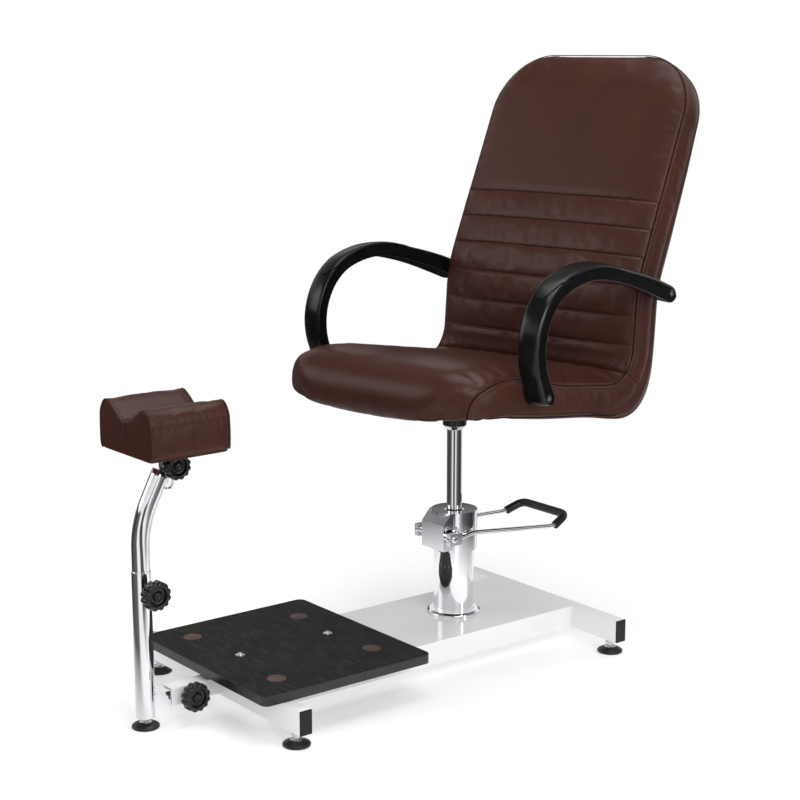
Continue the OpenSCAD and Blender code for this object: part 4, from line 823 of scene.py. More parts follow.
def back_pad():
    stations = [CREASE_S + d for d in (0.3, 1.4, 3, 5.5, 8.5, 12, 17, 23, 30, 37, 44, 51)]
    for c in CHANNELS:
        stations += [c + d for d in (-9, -5.5, -3, -1.3, 0, 1.3, 3, 5.5, 9, 14, 20, 26, 32, 38, 44)]
    stations = [s for s in stations if s < CHANNELS[-1] + 50] + list(np.arange(CHANNELS[-1] + 50, TOP_S - 16, 6.2))
    turn = np.radians((75, 60, 45, 30, 15, 0))
    stations = sorted(set(stations)) + list(TOP_S - 14 + 14 * np.cos(turn))
    stations = np.array(stations)
    rings = []
    for s in stations:
        to_top = TOP_S - s
        from_crease = s - CREASE_S
        top_round = 14 * (1 - math.sqrt(max(0, 1 - max(0, (14 - to_top) / 14) ** 2))) if to_top < 14 else 0.0
        top_round = min(top_round, 13.0)
        puff = puff_at(s) if s < CHANNELS[-1] else 1.0
        rise = BACK_CROWN * puff * min(1, from_crease / 40 + 0.1) * min(1, 0.35 + to_top / 120)
        dip, drawn = into_crease(from_crease)
        deep = FOAM + SHELL
        under = FOAM if to_top > 20 else deep
        rings.append(pad_ring(s, rise, channel_dip(s) + dip, deep, under, drawn + top_round))
    pad = skin("back_pad", rings, strip=len(FACE_U))
    swell(pad, freedom(stations, [CREASE_S] + list(CHANNELS), 12.0), 1.35 * MM)
    m = len(FACE_U)
    height = []
    for s in stations:
        x = FACE_U * half_at(s)
        soft = wave(np.stack([x / 50, np.full_like(x, s / 42), 0 * x], -1), 21)
        near = np.exp(-(np.min(np.abs(s - CHANNELS)) / 7.0) ** 2)
        pull = near * np.sin(x / 3.6 + 2 * np.sin(x / 23 + s))
        face = (0.4 * soft + 0.22 * pull) * np.clip((1 - np.abs(FACE_U)) * 12, 0, 1)
        boxing = boxing_ripple(s, 25)
        height.append(np.concatenate([face, boxing, np.zeros(m), boxing]))
    bump_out(pad, np.concatenate(height) * MM)
    return subdivide(pad)


def cover_rings():
    start = NOSE_L + 3
    stations = [start + d for d in (0, 0.8, 2.2, 4.5, 8)] + list(np.arange(start + 14, TOP_S - 12, 8.0))
    stations += [TOP_S - d for d in (9, 6, 3.4, 1.5, 0.2)]
    m = 57
    u = np.linspace(-1, 1, m)
    q = np.abs(u)
    rings = []
    for s in stations:
        turn = np.clip((s - FOLD_S) / FOLD_L, 0, 1)
        thin = max(0, (RUN_S - s) / (RUN_S - NOSE_L))
        back = 5 * turn - 7 * np.clip((s - TOP_S + 220) / 220, 0, 1)
        near = FOAM + SHELL + 0.3
        far = FOAM + SHELL + 2 + (COVER - 2) * (1 - thin) + 20 * math.sin(math.pi * turn) ** 2 + back
        far += FULLER * low_back(s)
        end = min(s - start, TOP_S - s)
        close = math.sqrt(max(0.02, 1 - max(0, 1 - end / 9) ** 2))
        w = half_at(s) - 0.5
        r = min(6.0, 0.7 * (far - near))
        # Flat behind, round at the edge, then a low side wall up to the welt
        corner = np.clip((q - 0.6) / 0.24, 0, 1) * math.pi / 2
        wall = np.clip((q - 0.84) / 0.16, 0, 1)
        x = np.minimum(q / 0.6, 1) * (w - r) + r * np.sin(corner)
        out = (bulge_at_lip(s) - 0.6) * np.minimum(1, wall * 3) + 0.8 * np.sin(math.pi * wall)
        x = x + out * np.clip((s - start) / 60, 0, 1)
        fall = (far - r + r * np.cos(corner)) - near
        # The wall ends 4 mm up inside the boxing, so that the two run on as one skin
        fall = np.where(wall > 0, fall * (1 - wall) - 4.0 * wall ** 3, fall)
        inner = above_side(u * (w - 0.5), s, np.full(m, -near))
        outer = above_side(np.sign(u) * x, s, -near - fall * close)[::-1]
        rings.append(np.concatenate([inner, outer]))
    return stations, rings, u


def rear_cover():
    """The padded cover under the seat and behind the back."""
    stations, rings, u = cover_rings()
    m = len(u)
    piece = skin("rear_cover", rings, strip=m)
    ripple = []
    for s in stations:
        x = u * half_at(s)
        soft = 0.7 * wave(np.stack([x / 60, np.full(m, s / 55), 0 * x], -1), 31)[::-1]
        drag = np.exp(-((s - FOLD_S - 50) / 40) ** 2) * np.sin(x / 13 + 1.5 * np.sin(x / 47))[::-1] ** 2
        edge = np.clip((1 - np.abs(u[::-1])) * 10, 0, 1)
        ripple.append(np.concatenate([np.zeros(m), (soft - 0.9 * drag) * edge]))
    bump_out(piece, np.concatenate(ripple) * MM)
    return subdivide(piece)


seat = seat_pad()
back = back_pad()
cover = rear_cover()
fit(seat, "seat", "leatherette", HIDE, "seat_cushion")
fit(back, "seat", "leatherette", HIDE, "back_cushion")
fit(cover, "seat", "leatherette", HIDE_PAINTED_SIDE_TONE, "shell_cover")
# The boxing is cut from the same hide; its copy of the leatherette is a shade apart in colour, which is painted light
# and shade of the sides
for pad in (seat, back):
    pad.data.materials.append(HIDE_PAINTED_SIDE_TONE)
    m, k = len(FACE_U), len(BOX_V)
    ring = 2 * (m + k)
    for face in pad.data.polygons:
        columns = [v % ring for v in face.vertices]
        if min(columns) >= m - 1 and max(columns) < ring and not max(columns) < m:
            face.material_index = 1
        if 0 in columns and max(columns) == ring - 1:
            face.material_index = 1


def edge_line(s, x_out, n):
    """Both halves of a line beside the shell's edge: up one side, over the top and down the other."""
    right = above_side(half_at(s) + x_out, s, n)
    left = above_side(-half_at(s) - x_out, s, n)
    return np.concatenate([right, left[::-1]])


def beside_seam(s, below, out):
    """A line that follows the edge seam at distance below it on the boxing, and its outward directions."""
    halves, ups = [], []
    for side_x in (1, -1):
        p, q = [], []
        for at, down in zip(s, below):
            if at < CREASE_S:
                part = half_section(at, crown_at(at), 10, NOSE_R - 2 if at <= NOSE_L else FOAM + SHELL)
            else:
                part = half_section(at, BACK_CROWN * 0.4, 5, FOAM + SHELL)
            p.append(on_section(part, at, part[2] + down, out, side_x))
            q.append(on_section(part, at, part[2] + down, out + 5, side_x))
        halves.append(np.array(p))
        ups.append(unit(np.array(q) - np.array(p)))
    return np.concatenate([halves[0], halves[1][::-1]]), np.concatenate([ups[0], ups[1][::-1]])


over_the_top = TOP_S - TOP_CORNER * (1 - np.sin(np.linspace(0, math.pi / 2, 40)))
edge_s = np.concatenate([
    np.linspace(1, 100, 26), np.arange(105, CREASE_S, 5), np.arange(CREASE_S, TOP_S - TOP_CORNER, 6), over_the_top])
edge_s = np.clip(edge_s, 1, TOP_S - 0.3)
seam_line = beside_seam(edge_s, 0 * edge_s, 0.9)[0]
# A dark tube along the edge seam: painted shade in the seam groove
fit(tube("edge_seam_shade", evenly(seam_line, 4 * MM), 0.95 * MM, 6, ends=0.7 * MM), "seat", "leatherette", SEAM_SHADE)
row_below = np.interp(edge_s, (20, 120, 250, 400, 560), (9.5, 9.0, 6.5, 5.5, 4.2))
row, row_up = beside_seam(edge_s, row_below, 0.1)
fit(stitches("boxing_stitches", [row], [row_up], pitch=5.0, length=3.5, thick=1.0), "seat", "leatherette", THREAD)

# The lower edge of the boxing is sewn to the cover under the seat; the dark tubes along that seam are painted shade
low_s = np.arange(NOSE_L + 8, FOLD_S + 70, 7)
low_n = np.interp(low_s, (NOSE_L + 8, RUN_S, FOLD_S - 40, FOLD_S + 70), (-50.5, -57.0, -58.0, -66.0))
low_edge = edge_line(low_s, 2.4, low_n)
for name, half in (("rear_cover_seam", low_edge[:len(low_s)]), ("rear_cover_seam_far", low_edge[len(low_s):])):
    fit(tube(name, evenly(half, 5 * MM), 1.1 * MM, 8, ends=0.8 * MM), "seat", "leatherette", SEAM_SHADE)


def channel_threads():
    lines, ups = [], []
    for c in CHANNELS:
        x = np.linspace(-SEAT_HALF + 5, SEAT_HALF - 5, 60)
        s = np.full(60, c)
        u = np.abs(x) / SEAT_HALF
        face = BACK_CROWN * puff_at(c) * (1 - u ** 5) + plump_at(np.abs(x), s, SEAT_HALF)
        n = face - channel_dip(c) * (0.35 + 0.65 * (1 - u ** 8)) + 0.15
        lines.append(above_side(x, s, n))
        ups.append(lines[-1] - above_side(x, s, n - 10))
    return stitches("channel_stitches", lines, ups, pitch=5.0, length=3.4, thick=0.9)


fit(channel_threads(), "seat", "leatherette", THREAD)

# ---- Armrests ----
low_side, rear_side = side(RUN_S + 35.0), side(BACK_S + 118.0)
bolt_a, bolt_b = math.radians(low_side[2]), math.radians(rear_side[2])
LOWER_BOLT = (low_side[0] + 16 * math.sin(bolt_a), low_side[1] - 16 * math.cos(bolt_a))
UPPER_BOLT = (rear_side[0] + 44 * math.sin(bolt_b), rear_side[1] - 44 * math.cos(bolt_b))
# The last stretch leaves the bend smoothly and ends on the upper bolt
ARM_HEADING = 116.5
ARM_S2 = sum(part[0] for part in ARM_BEND)
bent = along(ARM_BEND, LOWER_BOLT, ARM_HEADING, ARM_S2)
chord = np.array(UPPER_BOLT) - bent[:2]
rear_turn = 2 * (math.degrees(math.atan2(chord[1], chord[0])) - bent[2])
rear_l = np.linalg.norm(chord) * math.radians(rear_turn / 2) / math.sin(math.radians(rear_turn / 2))
ARM_PATH = ARM_BEND + ((rear_l, rear_turn),)
ARM_L = ARM_S2 + rear_l


def arm_thick(s):
    """Thickness of the bar: a boss round each bolt, slimmest just above the lower one."""
    at = (0, 34, 100, ARM_L - 150, ARM_L - 55)
    near = s + np.linspace(-9, 9, 7)
    return float(np.mean(np.interp(near, at, (ARM_LOW_D, ARM_T - 3, ARM_T, ARM_T + 1, ARM_REAR_T))))


def arm_section(turns, t=ARM_T, grow=0.0):
    """Points of the arm's section at turns, in radians from its outer side: a crowned face between two crisp edges."""
    c, s = np.cos(turns), np.sin(turns)
    p = np.where(s > 0, 5.5, 7.0)
    x = (ARM_W / 2 + grow) * np.sign(c) * np.abs(c) ** (2 / p)
    y = (t / 2 + grow) * np.sign(s) * np.abs(s) ** (2 / p)
    # The flanks are hollowed slightly, which leaves a rim along both edges
    u, v = np.clip(x / (ARM_W / 2), -1, 1), np.clip(y / (t / 2), -1, 1)
    x = x - np.sign(x) * 1.1 * (1 - v * v) * np.abs(u) ** 6 * (t > 12)
    y = y + np.where(y > 0, 1.4 * (1 - u * u), 0) - 0.7
    return x, y - ARM_FALL * x / ARM_W


def arm_point(side_x, s, x, n):
    e = along(ARM_PATH, LOWER_BOLT, ARM_HEADING, s)
    a = np.radians(e[..., 2])
    return on_seat(side_x * (ARM_X + x), e[..., 0] - n * np.sin(a), e[..., 1] + n * np.cos(a))


def arm_rim(name, side_x, turn):
    """The polished bead that runs along one edge of the arm."""
    rim_s = np.linspace(4, ARM_L - 2, 150)
    line = []
    for s in rim_s:
        x, y = arm_section(np.array([turn]), arm_thick(s), -1.0)
        line.append(arm_point(side_x, s, x[0], y[0]))
    return tube(name, np.array(line), 1.7 * MM, 10, ends=1.4 * MM)


def arm_hole(side_x, at, radius, x0, x1):
    a = np.linspace(0, 2 * math.pi, 40, endpoint=False)
    rings = [on_seat(side_x * np.full(40, x), at[0] + radius * np.cos(a), at[1] + radius * np.sin(a)) for x in (x0, x1)]
    return skin("hole", rings)


def armrest(name, side_x):
    turns = np.linspace(0, 2 * math.pi, 72, endpoint=False)
    ends = (0.995, 0.95, 0.85, 0.7, 0.5, 0.25)
    stations = [-d * ARM_LOW_D / 2 for d in ends] + list(np.linspace(0, ARM_L, 130))
    stations += [ARM_L + d * ARM_REAR_T / 2 for d in ends[::-1]]
    rings = []
    for s in stations:
        over = max(0.0, -s * 2 / ARM_LOW_D, (s - ARM_L) * 2 / ARM_REAR_T)
        t = arm_thick(np.clip(s, 0, ARM_L)) * math.sqrt(max(0.012, 1 - over * over))
        x, y = arm_section(turns, t)
        rings.append(arm_point(side_x, s, x * (1 - 0.05 * over ** 3), y))
    arm = skin(name, rings)
    cutters = []
    for at in (LOWER_BOLT, UPPER_BOLT):
        cutters.append(arm_hole(side_x, at, 4.2, ARM_X - 40, ARM_X + 40))
        cutters.append(arm_hole(side_x, at, 8.8, ARM_X + ARM_W / 2 - 9, ARM_X + 40))
    return carve(arm, cutters)


PAD_SPAN = (ARM_BEND[0][0] + 124 * math.radians(66), ARM_S2 + 42)
TONGUE_OUTER, TONGUE_INNER = 95.0, 30.0


def tongue(s, outer):
    """How far the insert reaches across the arm at s, from 0 to 1: slowly to the outer edge, quickly to the inner."""
    long = TONGUE_OUTER if outer > 0 else TONGUE_INNER
    return math.sqrt(max(0.0, 1 - max(0.0, (PAD_SPAN[0] + long - s) / long) ** 2))


def arm_cushion(name, side_x):
    """The soft insert on top of the arm: a rounded tongue in front, its edge let into the arm."""
    s0, s1 = PAD_SPAN
    stations = [s0 + TONGUE_OUTER * (1 - math.cos(a)) for a in np.linspace(0.06, math.pi / 2, 34)]
    stations += list(np.linspace(s0 + 99, s1 - 20, 46))
    stations += [s1 - 18 * (1 - math.sin(a)) for a in np.linspace(0, math.pi / 2 - 0.08, 10)]
    rings = []
    v = np.linspace(-1, 1, 33)
    v = np.sign(v) * np.abs(v) ** 0.8
    for s in stations:
        rear = math.sqrt(max(0.0, 1 - ((s - s1 + 18) / 18) ** 2)) if s > s1 - 18 else 1.0
        wide = np.where(v > 0, tongue(s, 1), tongue(s, -1)) * max(0.06, rear)
        spread = np.sign(v) * np.abs(v * wide * 0.985) ** 2.75
        turns = np.arccos(np.clip(spread, -0.9995, 0.9995))
        rim = (1 - np.abs(v) ** 10) ** 0.5
        body_x, body_y = arm_section(turns, arm_thick(s))
        for_x, for_y = arm_section(turns, arm_thick(s), 1.0)
        x, y = body_x + (for_x - body_x) * (1.9 * rim - 0.9), body_y + (for_y - body_y) * (1.9 * rim - 0.9)
        low_x, low_y = body_x * 0.92, body_y - 2.4
        rings.append(np.concatenate([arm_point(side_x, s, x, y), arm_point(side_x, s, low_x, low_y)[::-1]]))
    return skin(name, rings, strip=len(v))


def pad_joint(name, side_x):
    """A dark line of painted shade in the narrow open joint round the front tongue and along both sides of the insert.
    """
    s0, s1 = PAD_SPAN
    front = s0 + TONGUE_OUTER * (1 - np.cos(np.linspace(0.0, math.pi / 2, 60)))
    run = np.concatenate([front, np.linspace(s0 + 98, s1 - 6, 60)])
    half = []
    for s in run:
        wide = np.array([tongue(s, 1), -tongue(s, -1)])
        turn = np.arccos(np.sign(wide) * np.abs(wide * 0.985) ** 2.75)
        x, y = arm_section(turn, arm_thick(s), 0.25)
        half.append(arm_point(side_x, s, x, y))
    half = np.array(half)
    line = np.concatenate([half[::-1, 0], half[1:, 1]])
    return tube(name, evenly(line, 3 * MM), 0.9 * MM, 6, ends=0.6 * MM)


for label, side_x in (("left", 1), ("right", -1)):
    # A dark tube of painted shade marks the joint round each pad
    fit(pad_joint(label + "_arm_pad_joint_shade", side_x), "seat", "black_plastic", JOINT_SHADE)
    fit(armrest(label + "_armrest", side_x), "seat", "black_plastic", ABS, label + "_arm")
    for edge, turn in (("upper", 0.86), ("lower", -0.86), ("inner", math.pi + 0.86)):
        fit(arm_rim("%s_arm_%s_bead" % (label, edge), side_x, turn), "seat", "black_plastic", BEAD)
    insert = arm_cushion(label + "_arm_cushion", side_x)
    fit(insert, "seat", "arm_pad", PAD_SKIN, label + "_arm_pad")

# ---- Pedal ----
PEDAL = [(50, -56, 240), (50, -20, 240), (52, 6, 246), (75, 203, 231), (66, 243, 247)]
PEDAL += [(-x, y, z) for x, y, z in PEDAL[::-1]]
pedal_line = evenly(at_column(*rounded_line(PEDAL, 16).T), 4 * MM)
fit(tube("pedal_lever", pedal_line, 4.5 * MM, 20, ends=1.2 * MM), "pedal", "chrome", CHROME, "pedal_rod")
sleeve_start = tuple(a + 0.02 * (b - a) for a, b in zip(PEDAL[3], PEDAL[4]))
SLEEVE = [sleeve_start, PEDAL[4], PEDAL[5], (-sleeve_start[0], sleeve_start[1], sleeve_start[2])]
grip_line = evenly(at_column(*rounded_line(SLEEVE, 16).T), 3 * MM)
fit(tube("pedal_grip", grip_line, 8.5 * MM, 24, ends=2.6 * MM), "pedal", "black_rubber", RUBBER, "pedal_sleeve")

# ---- Leg rest ----
tube_path = ((41.0 + 160.0, 0.0), (180.0 * math.radians(27), -27.0), (62.0, 0.0))
tube_s = np.concatenate([
    np.linspace(0, 201, 12), np.linspace(205, 201 + 180 * math.radians(27), 30), [300, 315, 330, 343]])
bend = along(tube_path, (POST_Y, 289.0 - 160.0), 90.0, tube_s)
bent = tube("bent_leg_tube", at_column(0 * tube_s, bend[:, 0], bend[:, 1]), 16.25 * MM, 48, ends=1.0 * MM)
barrel = [(434, 9.2), (434, 11.8), (434.8, 12.5), (500.8, 12.5), (501.6, 11.8), (501.6, 9.2)]
a = np.linspace(0, 2 * math.pi, 48, endpoint=False)
sleeve = skin("sleeve", [at_column(r * np.cos(a), SLEEVE_Y + r * np.sin(a), z) for z, r in barrel + [barrel[0]]][:6])
fit(join("leg_tube_and_sleeve", [bent, sleeve]), "upper_tube", "chrome", CHROME, "upper_tube")

KNOB_PROFILE = (
    (0, 1.0, 0), (0, 8.6, 0), (1.0, 9.4, 0), (4.5, 9.6, 0), (5.5, 12, 0.1), (6.2, 21, 0.7), (7.4, 25.2, 1), (9.4, 26.6, 1),
    (16, 27, 1), (22.5, 26.8, 1), (25.6, 26, 1), (27.4, 24.4, 0.9), (28, 22, 0.55), (28, 19, 0.1), (27.6, 17.6, 0),
    (26.2, 16.7, 0), (21.2, 15.8, 0), (20.1, 14.6, 0), (20, 9.4, 0), (20.8, 8.2, 0), (24.6, 7.4, 0), (25.6, 6.4, 0),
    (25.8, 4.4, 0), (24.9, 3.6, 0), (24.6, 0.6, 0),
)


def clamp_knob(name, x, y, z, d, reach):
    """A twelve-lobed knob with a dished face and a hub, and its stud."""
    a = np.linspace(0, 2 * math.pi, 168, endpoint=False)
    flute = (0.5 + 0.5 * np.cos(12 * a)) ** 1.6
    k = d / 54.0
    rings = []
    for px, r, lobes in KNOB_PROFILE:
        rr = r * k - 2.9 * k * lobes * flute
        rings.append(at_column(x + px, y + rr * np.cos(a), z + rr * np.sin(a)))
    stud_x = np.linspace(-reach, 3, 40)
    stud = tube(name + "_stud", at_column(x + stud_x, y + 0 * stud_x, z + 0 * stud_x), 3.9 * MM, 20, ends=0.6 * MM)
    return skin(name, rings), stud


for name, x, y, z, d, reach in (
        ("post_knob", 31.5, -712.0, 256.0, 54.0, 15.0), ("socket_knob", 23.0, -632.0, 49.5, 54.0, 9.8),
        ("cushion_knob", 19.5, -657.0, 476.7, 50.0, 10.1)):
    knob, stud = clamp_knob(name + "_grip", x, y, z, d, reach)
    fit(knob, name, "black_plastic", PHENOLIC, name)
    fit(stud, name, "steel", ZINC)

LEG_U = np.sin(np.linspace(-1, 1, 65) * math.pi / 2) * 0.35 + np.linspace(-1, 1, 65) * 0.65


def ridge(u):
    """Height of the leg cushion's top across its width: two ridges with a trough between them."""
    a = np.abs(u)
    fall = 34 * np.clip((0.66 - a) / 0.54, 0, 1)
    soft = 5.0 * np.log1p(np.exp((fall - 31) / 2.5)) * 0.5
    shoulder = 24 * np.clip((a - 0.7) / 0.3, 0, 1) ** 2.6
    lip = 1.6 * np.exp(-((a - 0.66) / 0.09) ** 2)
    return CUSHION_H - fall + soft - shoulder - lip


def leg_ring(v, inset):
    """One ring of the leg cushion at v, from -1 at the front to 1."""
    w = CUSHION_W / 2 - 1.5 + 1.5 * (1 - v * v) - inset
    y = SLEEVE_Y + v * (CUSHION_L / 2)
    x = LEG_U * w
    top = CUSHION_Z + ridge(LEG_U) - 2 * v * v - inset
    h = BOX_V
    wall = w + 1.6 * np.sin(math.pi * h) - 7 * np.clip((h - 0.86) / 0.14, 0, 1) ** 2
    wall_z = (top[-1]) * (1 - h) + (CUSHION_Z + inset) * h
    low_x = LEG_U * (w - 9)
    low = np.full(len(LEG_U), CUSHION_Z + inset * 0.6)
    right, left = at_column(wall, y, wall_z), at_column(-wall, y, wall_z)
    return np.concatenate([at_column(x, y, top), right, at_column(low_x, y, low)[::-1], left[::-1]])


def leg_pad():
    r = 5.0
    turn = np.radians((0, 22, 45, 68))
    share = r / (CUSHION_L / 2)
    ends = [(-1 + share * (1 - math.cos(a)), r * (1 - math.sin(a))) for a in turn]
    mid = [(v, 0.0) for v in np.linspace(-1 + share * 1.2, 1 - share * 1.2, 30)]
    rows = ends + mid + [(-v, i) for v, i in ends[::-1]]
    rings = [leg_ring(v, i) for v, i in rows]
    pad = skin("leg_pad", rings, strip=len(LEG_U))
    free = []
    for v, i in rows:
        end = np.clip((1 - abs(v)) / 0.2, 0, 1)
        top = np.full(len(LEG_U), end)
        wall = end * np.sin(math.pi * BOX_V) ** 0.5
        free.append(np.concatenate([top, wall, np.zeros(len(LEG_U)), wall]))
    free = np.concatenate(free)
    swell(pad, free, 1.125 * MM)
    p = points_of(pad.data) / MM
    bump_out(pad, (0.45 * wave(p / 22, 41) * free) * MM)
    return subdivide(pad)


fit(leg_pad(), "leg_cushion", "leatherette", HIDE, "leg_cushion")


def leg_outline(v, grow, inset=0.0):
    """The outline of the leg cushion's end at v, moved outwards by grow millimetres, without its underside."""
    ring = leg_ring(v, inset)
    m, k = len(LEG_U), len(BOX_V)
    line = np.concatenate([ring[2 * m + k:][: k - 1], ring[:m], ring[m: m + k - 1]])
    middle = at_column(0.0, SLEEVE_Y + v * CUSHION_L / 2, CUSHION_Z + 32.0)
    flat = tangents(line)
    out = unit(np.cross(flat, np.array([0.0, 1.0, 0.0])))
    out *= np.sign(np.sum(out * (line - middle), axis=1))[:, None]
    return line + out * grow * MM, out


for end, label in ((-1, "front"), (1, "rear")):
    line, out = leg_outline(end * 0.985, -0.3)
    welt = tube("leg_pad_" + label + "_welt", evenly(line, 3 * MM), 1.8 * MM, 8, ends=1.2 * MM)
    fit(welt, "leg_cushion", "leatherette", HIDE_PAINTED_SIDE_TONE)
    line, out = leg_outline(end * 0.91, 0.5)
    row = stitches("leg_pad_" + label + "_stitches", [line], [out], pitch=5.0, thick=0.9)
    fit(row, "leg_cushion", "leatherette", THREAD)
    z = np.linspace(CUSHION_Z + 4, CUSHION_Z + CUSHION_H - 34, 20)
    y = SLEEVE_Y + end * (CUSHION_L / 2 + 0.4)
    seam = tube("leg_pad_" + label + "_seam", at_column(0 * z, y + 0 * z, z), 0.8 * MM, 6, ends=0.4 * MM)
    fit(seam, "leg_cushion", "leatherette", HIDE_PAINTED_SIDE_TONE)

# ---- Welds ----
def weld(name, points, radius, body, slot, material, seed):
    """A fillet weld: overlapping ripples along a joint."""
    line = evenly(np.asarray(points), 1.4 * MM)
    count = len(line)
    ripple = 1 + 0.12 * np.sin(np.arange(count) * 1.9) + 0.06 * np.sin(np.arange(count) * 0.37 + seed)
    return fit(tube(name, line, radius * MM * ripple, 8, ends=0.5 * MM), body, slot, material)


# Name, x, y, lower and upper end, radius, body, slot, finish and how its ripples start
WELDS = (
    ("rear_bar_weld", 125.2, 210.0, 29.0, 70.0, 1.8, "base", "white_paint", POWDER, 0),
    ("front_bar_weld", 125.2, -535.0, 29.0, 70.0, 1.8, "base", "white_paint", POWDER, 5),
    ("socket_weld", 16.2, -560.2, 34.0, 65.0, 1.5, "base", "white_paint", POWDER, 9),
    ("post_weld", 12.8, -699.6, 37.5, 61.5, 1.3, "leg_arm", "chrome", CHROME, 13),
)
for side_x in (-1, 1):
    for name, x, y, low, high, radius, body, slot, material, seed in WELDS:
        line = at_column(*np.array([(side_x * x, y, low), (side_x * x, y, high)]).T)
        weld("%s_%d" % (name, side_x + 1), line, radius, body, slot, material, side_x + seed)

# ---- Studio ----
floor = solid("floor", [(-9, -9, 0), (9, -9, 0), (9, 9, 0), (-9, 9, 0)], [(0, 1, 2, 3)])


def mirror_cards(tree, x, y):
    """What mirrors see round the chair at x and y: a dim studio with narrow white strip lights."""
    angle = put(tree, "ShaderNodeMath", {0: y, 1: x}, operation="ARCTAN2").outputs[0]
    turn = put(tree, "ShaderNodeMapRange", {0: angle, 1: -math.pi, 2: math.pi, 3: 0.0, 4: 1.0}).outputs[0]
    return ramp(tree, turn, (
        (0.0, "#5A5A5C"), (0.04, "#7A7A7C"), (0.08, "#4C4C4E"), (0.12, "#333336"), (0.2, "#58585A"), (0.27, "#6A6A6C"),
        (0.29, "#FFFFFF"), (0.34, "#FFFFFF"), (0.355, "#606062"), (0.415, "#4A4A4C"), (0.43, "#FFFFFF"), (0.465, "#FFFFFF"),
        (0.49, "#A0A0A2"), (0.53, "#606062"), (0.6, "#48484B"), (0.66, "#323236"), (0.72, "#6E6E70"), (0.755, "#FFFFFF"),
        (0.79, "#FFFFFF"), (0.82, "#606062"), (0.85, "#1C1C1E"), (0.93, "#1C1C1E"), (0.96, "#5A5A5C")))


def floor_finish():
    """Matt white backdrop paper: it keeps a soft shadow and goes to plain white away from the chair."""
    material, tree, shader = finish("white_paper_floor", Base_Color="#EDEDED", Roughness=0.9)
    path = put(tree, "ShaderNodeLightPath")
    where = put(tree, "ShaderNodeTexCoord").outputs["Object"]
    xyz = put(tree, "ShaderNodeSeparateXYZ", {0: where})
    far = put(tree, "ShaderNodeVectorMath", {0: where}, operation="LENGTH").outputs["Value"]
    away = put(tree, "ShaderNodeMapRange", {0: far, 1: 0.5, 2: 1.5, 3: 0.0, 4: 1.0}).outputs[0]
    beyond = put(tree, "ShaderNodeMapRange", {0: far, 1: 0.55, 2: 1.05, 3: 0.0, 4: 1.0}).outputs[0]
    camera_ray, glossy_ray = path.outputs["Is Camera Ray"], path.outputs["Is Glossy Ray"]
    to_camera = put(tree, "ShaderNodeMath", {0: away, 1: camera_ray}, operation="MULTIPLY").outputs[0]
    to_mirror = put(tree, "ShaderNodeMath", {0: beyond, 1: glossy_ray}, operation="MULTIPLY").outputs[0]
    mix = put(tree, "ShaderNodeMath", {0: to_camera, 1: to_mirror}, operation="MAXIMUM").outputs[0]
    cards = mirror_cards(tree, xyz.outputs[0], xyz.outputs[1])
    white_or_cards = {0: glossy_ray, 6: (1, 1, 1, 1), 7: cards}
    tone = put(tree, "ShaderNodeMix", white_or_cards, data_type="RGBA").outputs[2]
    glow = put(tree, "ShaderNodeEmission", {0: tone, 1: 1.0}).outputs[0]
    lift = put(tree, "ShaderNodeEmission", {0: (1, 1, 1, 1), 1: 0.3}).outputs[0]
    near = put(tree, "ShaderNodeAddShader", {0: shader.outputs[0], 1: lift}).outputs[0]
    end = next(n for n in tree.nodes if n.type == "OUTPUT_MATERIAL")
    both = put(tree, "ShaderNodeMixShader", {0: mix, 1: near, 2: glow}).outputs[0]
    tree.links.new(both, end.inputs[0])
    return material


floor.data.materials.append(floor_finish())


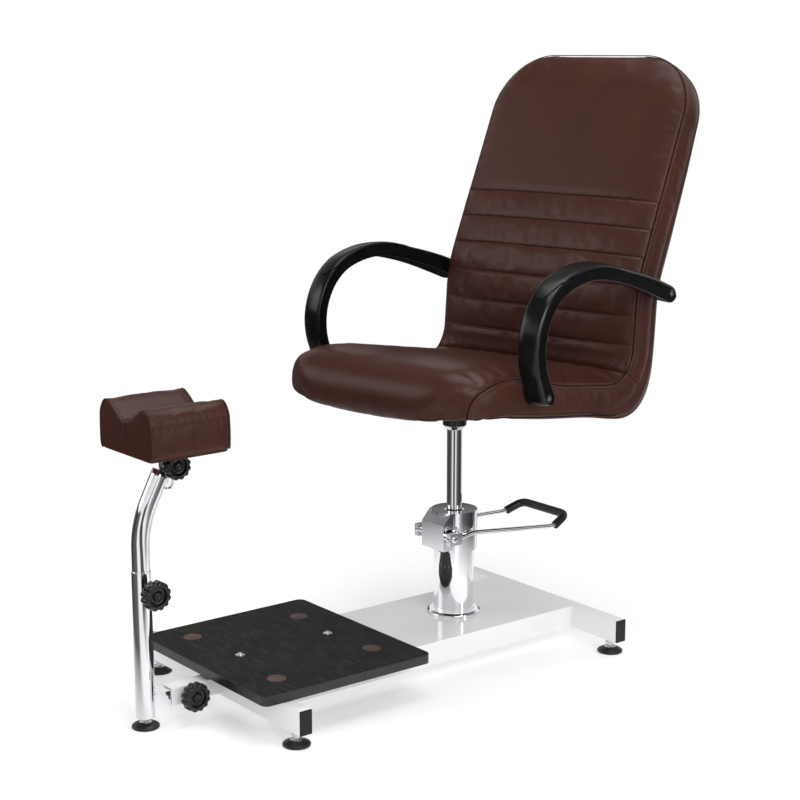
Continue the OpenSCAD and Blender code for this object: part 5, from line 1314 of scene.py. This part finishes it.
def studio_world():
    """White to the camera, even grey light on everything, and to mirrors a dim studio with white strip lights."""
    world = bpy.data.worlds.new("studio")
    scene.world = world
    world.use_nodes = True
    tree = world.node_tree
    tree.nodes.clear()
    path = put(tree, "ShaderNodeLightPath")
    xyz = put(tree, "ShaderNodeSeparateXYZ", {0: put(tree, "ShaderNodeTexCoord").outputs["Generated"]})
    cards = mirror_cards(tree, xyz.outputs[0], xyz.outputs[1])
    rising = put(tree, "ShaderNodeMapRange", {0: xyz.outputs[2], 1: 0.25, 2: 0.3, 3: 0.0, 4: 1.0}).outputs[0]
    high = put(tree, "ShaderNodeMapRange", {0: xyz.outputs[2], 1: 0.42, 2: 0.6, 3: 0.0, 4: 1.0}).outputs[0]
    band = put(tree, "ShaderNodeMix", {0: rising, 6: cards, 7: hex_colour("#F4F4F4")}, data_type="RGBA").outputs[2]
    mirror = put(tree, "ShaderNodeMix", {0: high, 6: band, 7: hex_colour("#747476")}, data_type="RGBA").outputs[2]
    direct = {0: path.outputs["Is Camera Ray"], 1: path.outputs["Is Transmission Ray"]}
    seen = put(tree, "ShaderNodeMath", direct, operation="MAXIMUM").outputs[0]
    grey_or_mirror = {0: path.outputs["Is Glossy Ray"], 6: hex_colour("#A6A6A8"), 7: mirror}
    soft = put(tree, "ShaderNodeMix", grey_or_mirror, data_type="RGBA").outputs[2]
    colour = put(tree, "ShaderNodeMix", {0: seen, 6: soft, 7: (1, 1, 1, 1)}, data_type="RGBA").outputs[2]
    light = put(tree, "ShaderNodeBackground", {0: colour, 1: 1.0}).outputs[0]
    out = put(tree, "ShaderNodeOutputWorld")
    tree.links.new(light, out.inputs[0])


studio_world()


def soft_box(name, at, towards, size, watts):
    lamp = bpy.data.lights.new(name, "AREA")
    lamp.shape, lamp.size, lamp.size_y, lamp.energy = "RECTANGLE", size[0], size[1], watts
    box = bpy.data.objects.new(name, lamp)
    box.location = at
    box.rotation_euler = (Vector(towards) - Vector(at)).to_track_quat("-Z", "Y").to_euler()
    scene.collection.objects.link(box)
    return box


soft_box("key_box", (2.9, -0.9, 2.5), (0, 0, 0.6), (1.6, 1.6), 42)
soft_box("side_box", (3.1, 0.7, 1.1), (0, 0, 0.6), (0.5, 1.8), 12)
soft_box("fill_box", (-1.9, -2.6, 1.9), (0, 0, 0.6), (1.8, 1.8), 18)
soft_box("top_box", (0.2, 0.3, 3.4), (0, 0, 0.5), (2.4, 2.4), 54)
# The lamp behind lights the far sides, and mirrors don't see it
soft_box("rear_box", (-1.4, 2.9, 2.2), (0, 0, 0.7), (1.6, 1.6), 18).visible_glossy = False

lens = bpy.data.cameras.new("studio_camera")
lens.lens, lens.sensor_width, lens.sensor_fit = 79.0, 36.0, "HORIZONTAL"
camera = bpy.data.objects.new("studio_camera", lens)
camera.location = (2.62315, -2.07465, 1.18756)
camera.rotation_euler = (math.radians(78.63), 0.0, math.radians(51.95))
scene.collection.objects.link(camera)
scene.camera = camera
scene.view_settings.view_transform = "Standard"
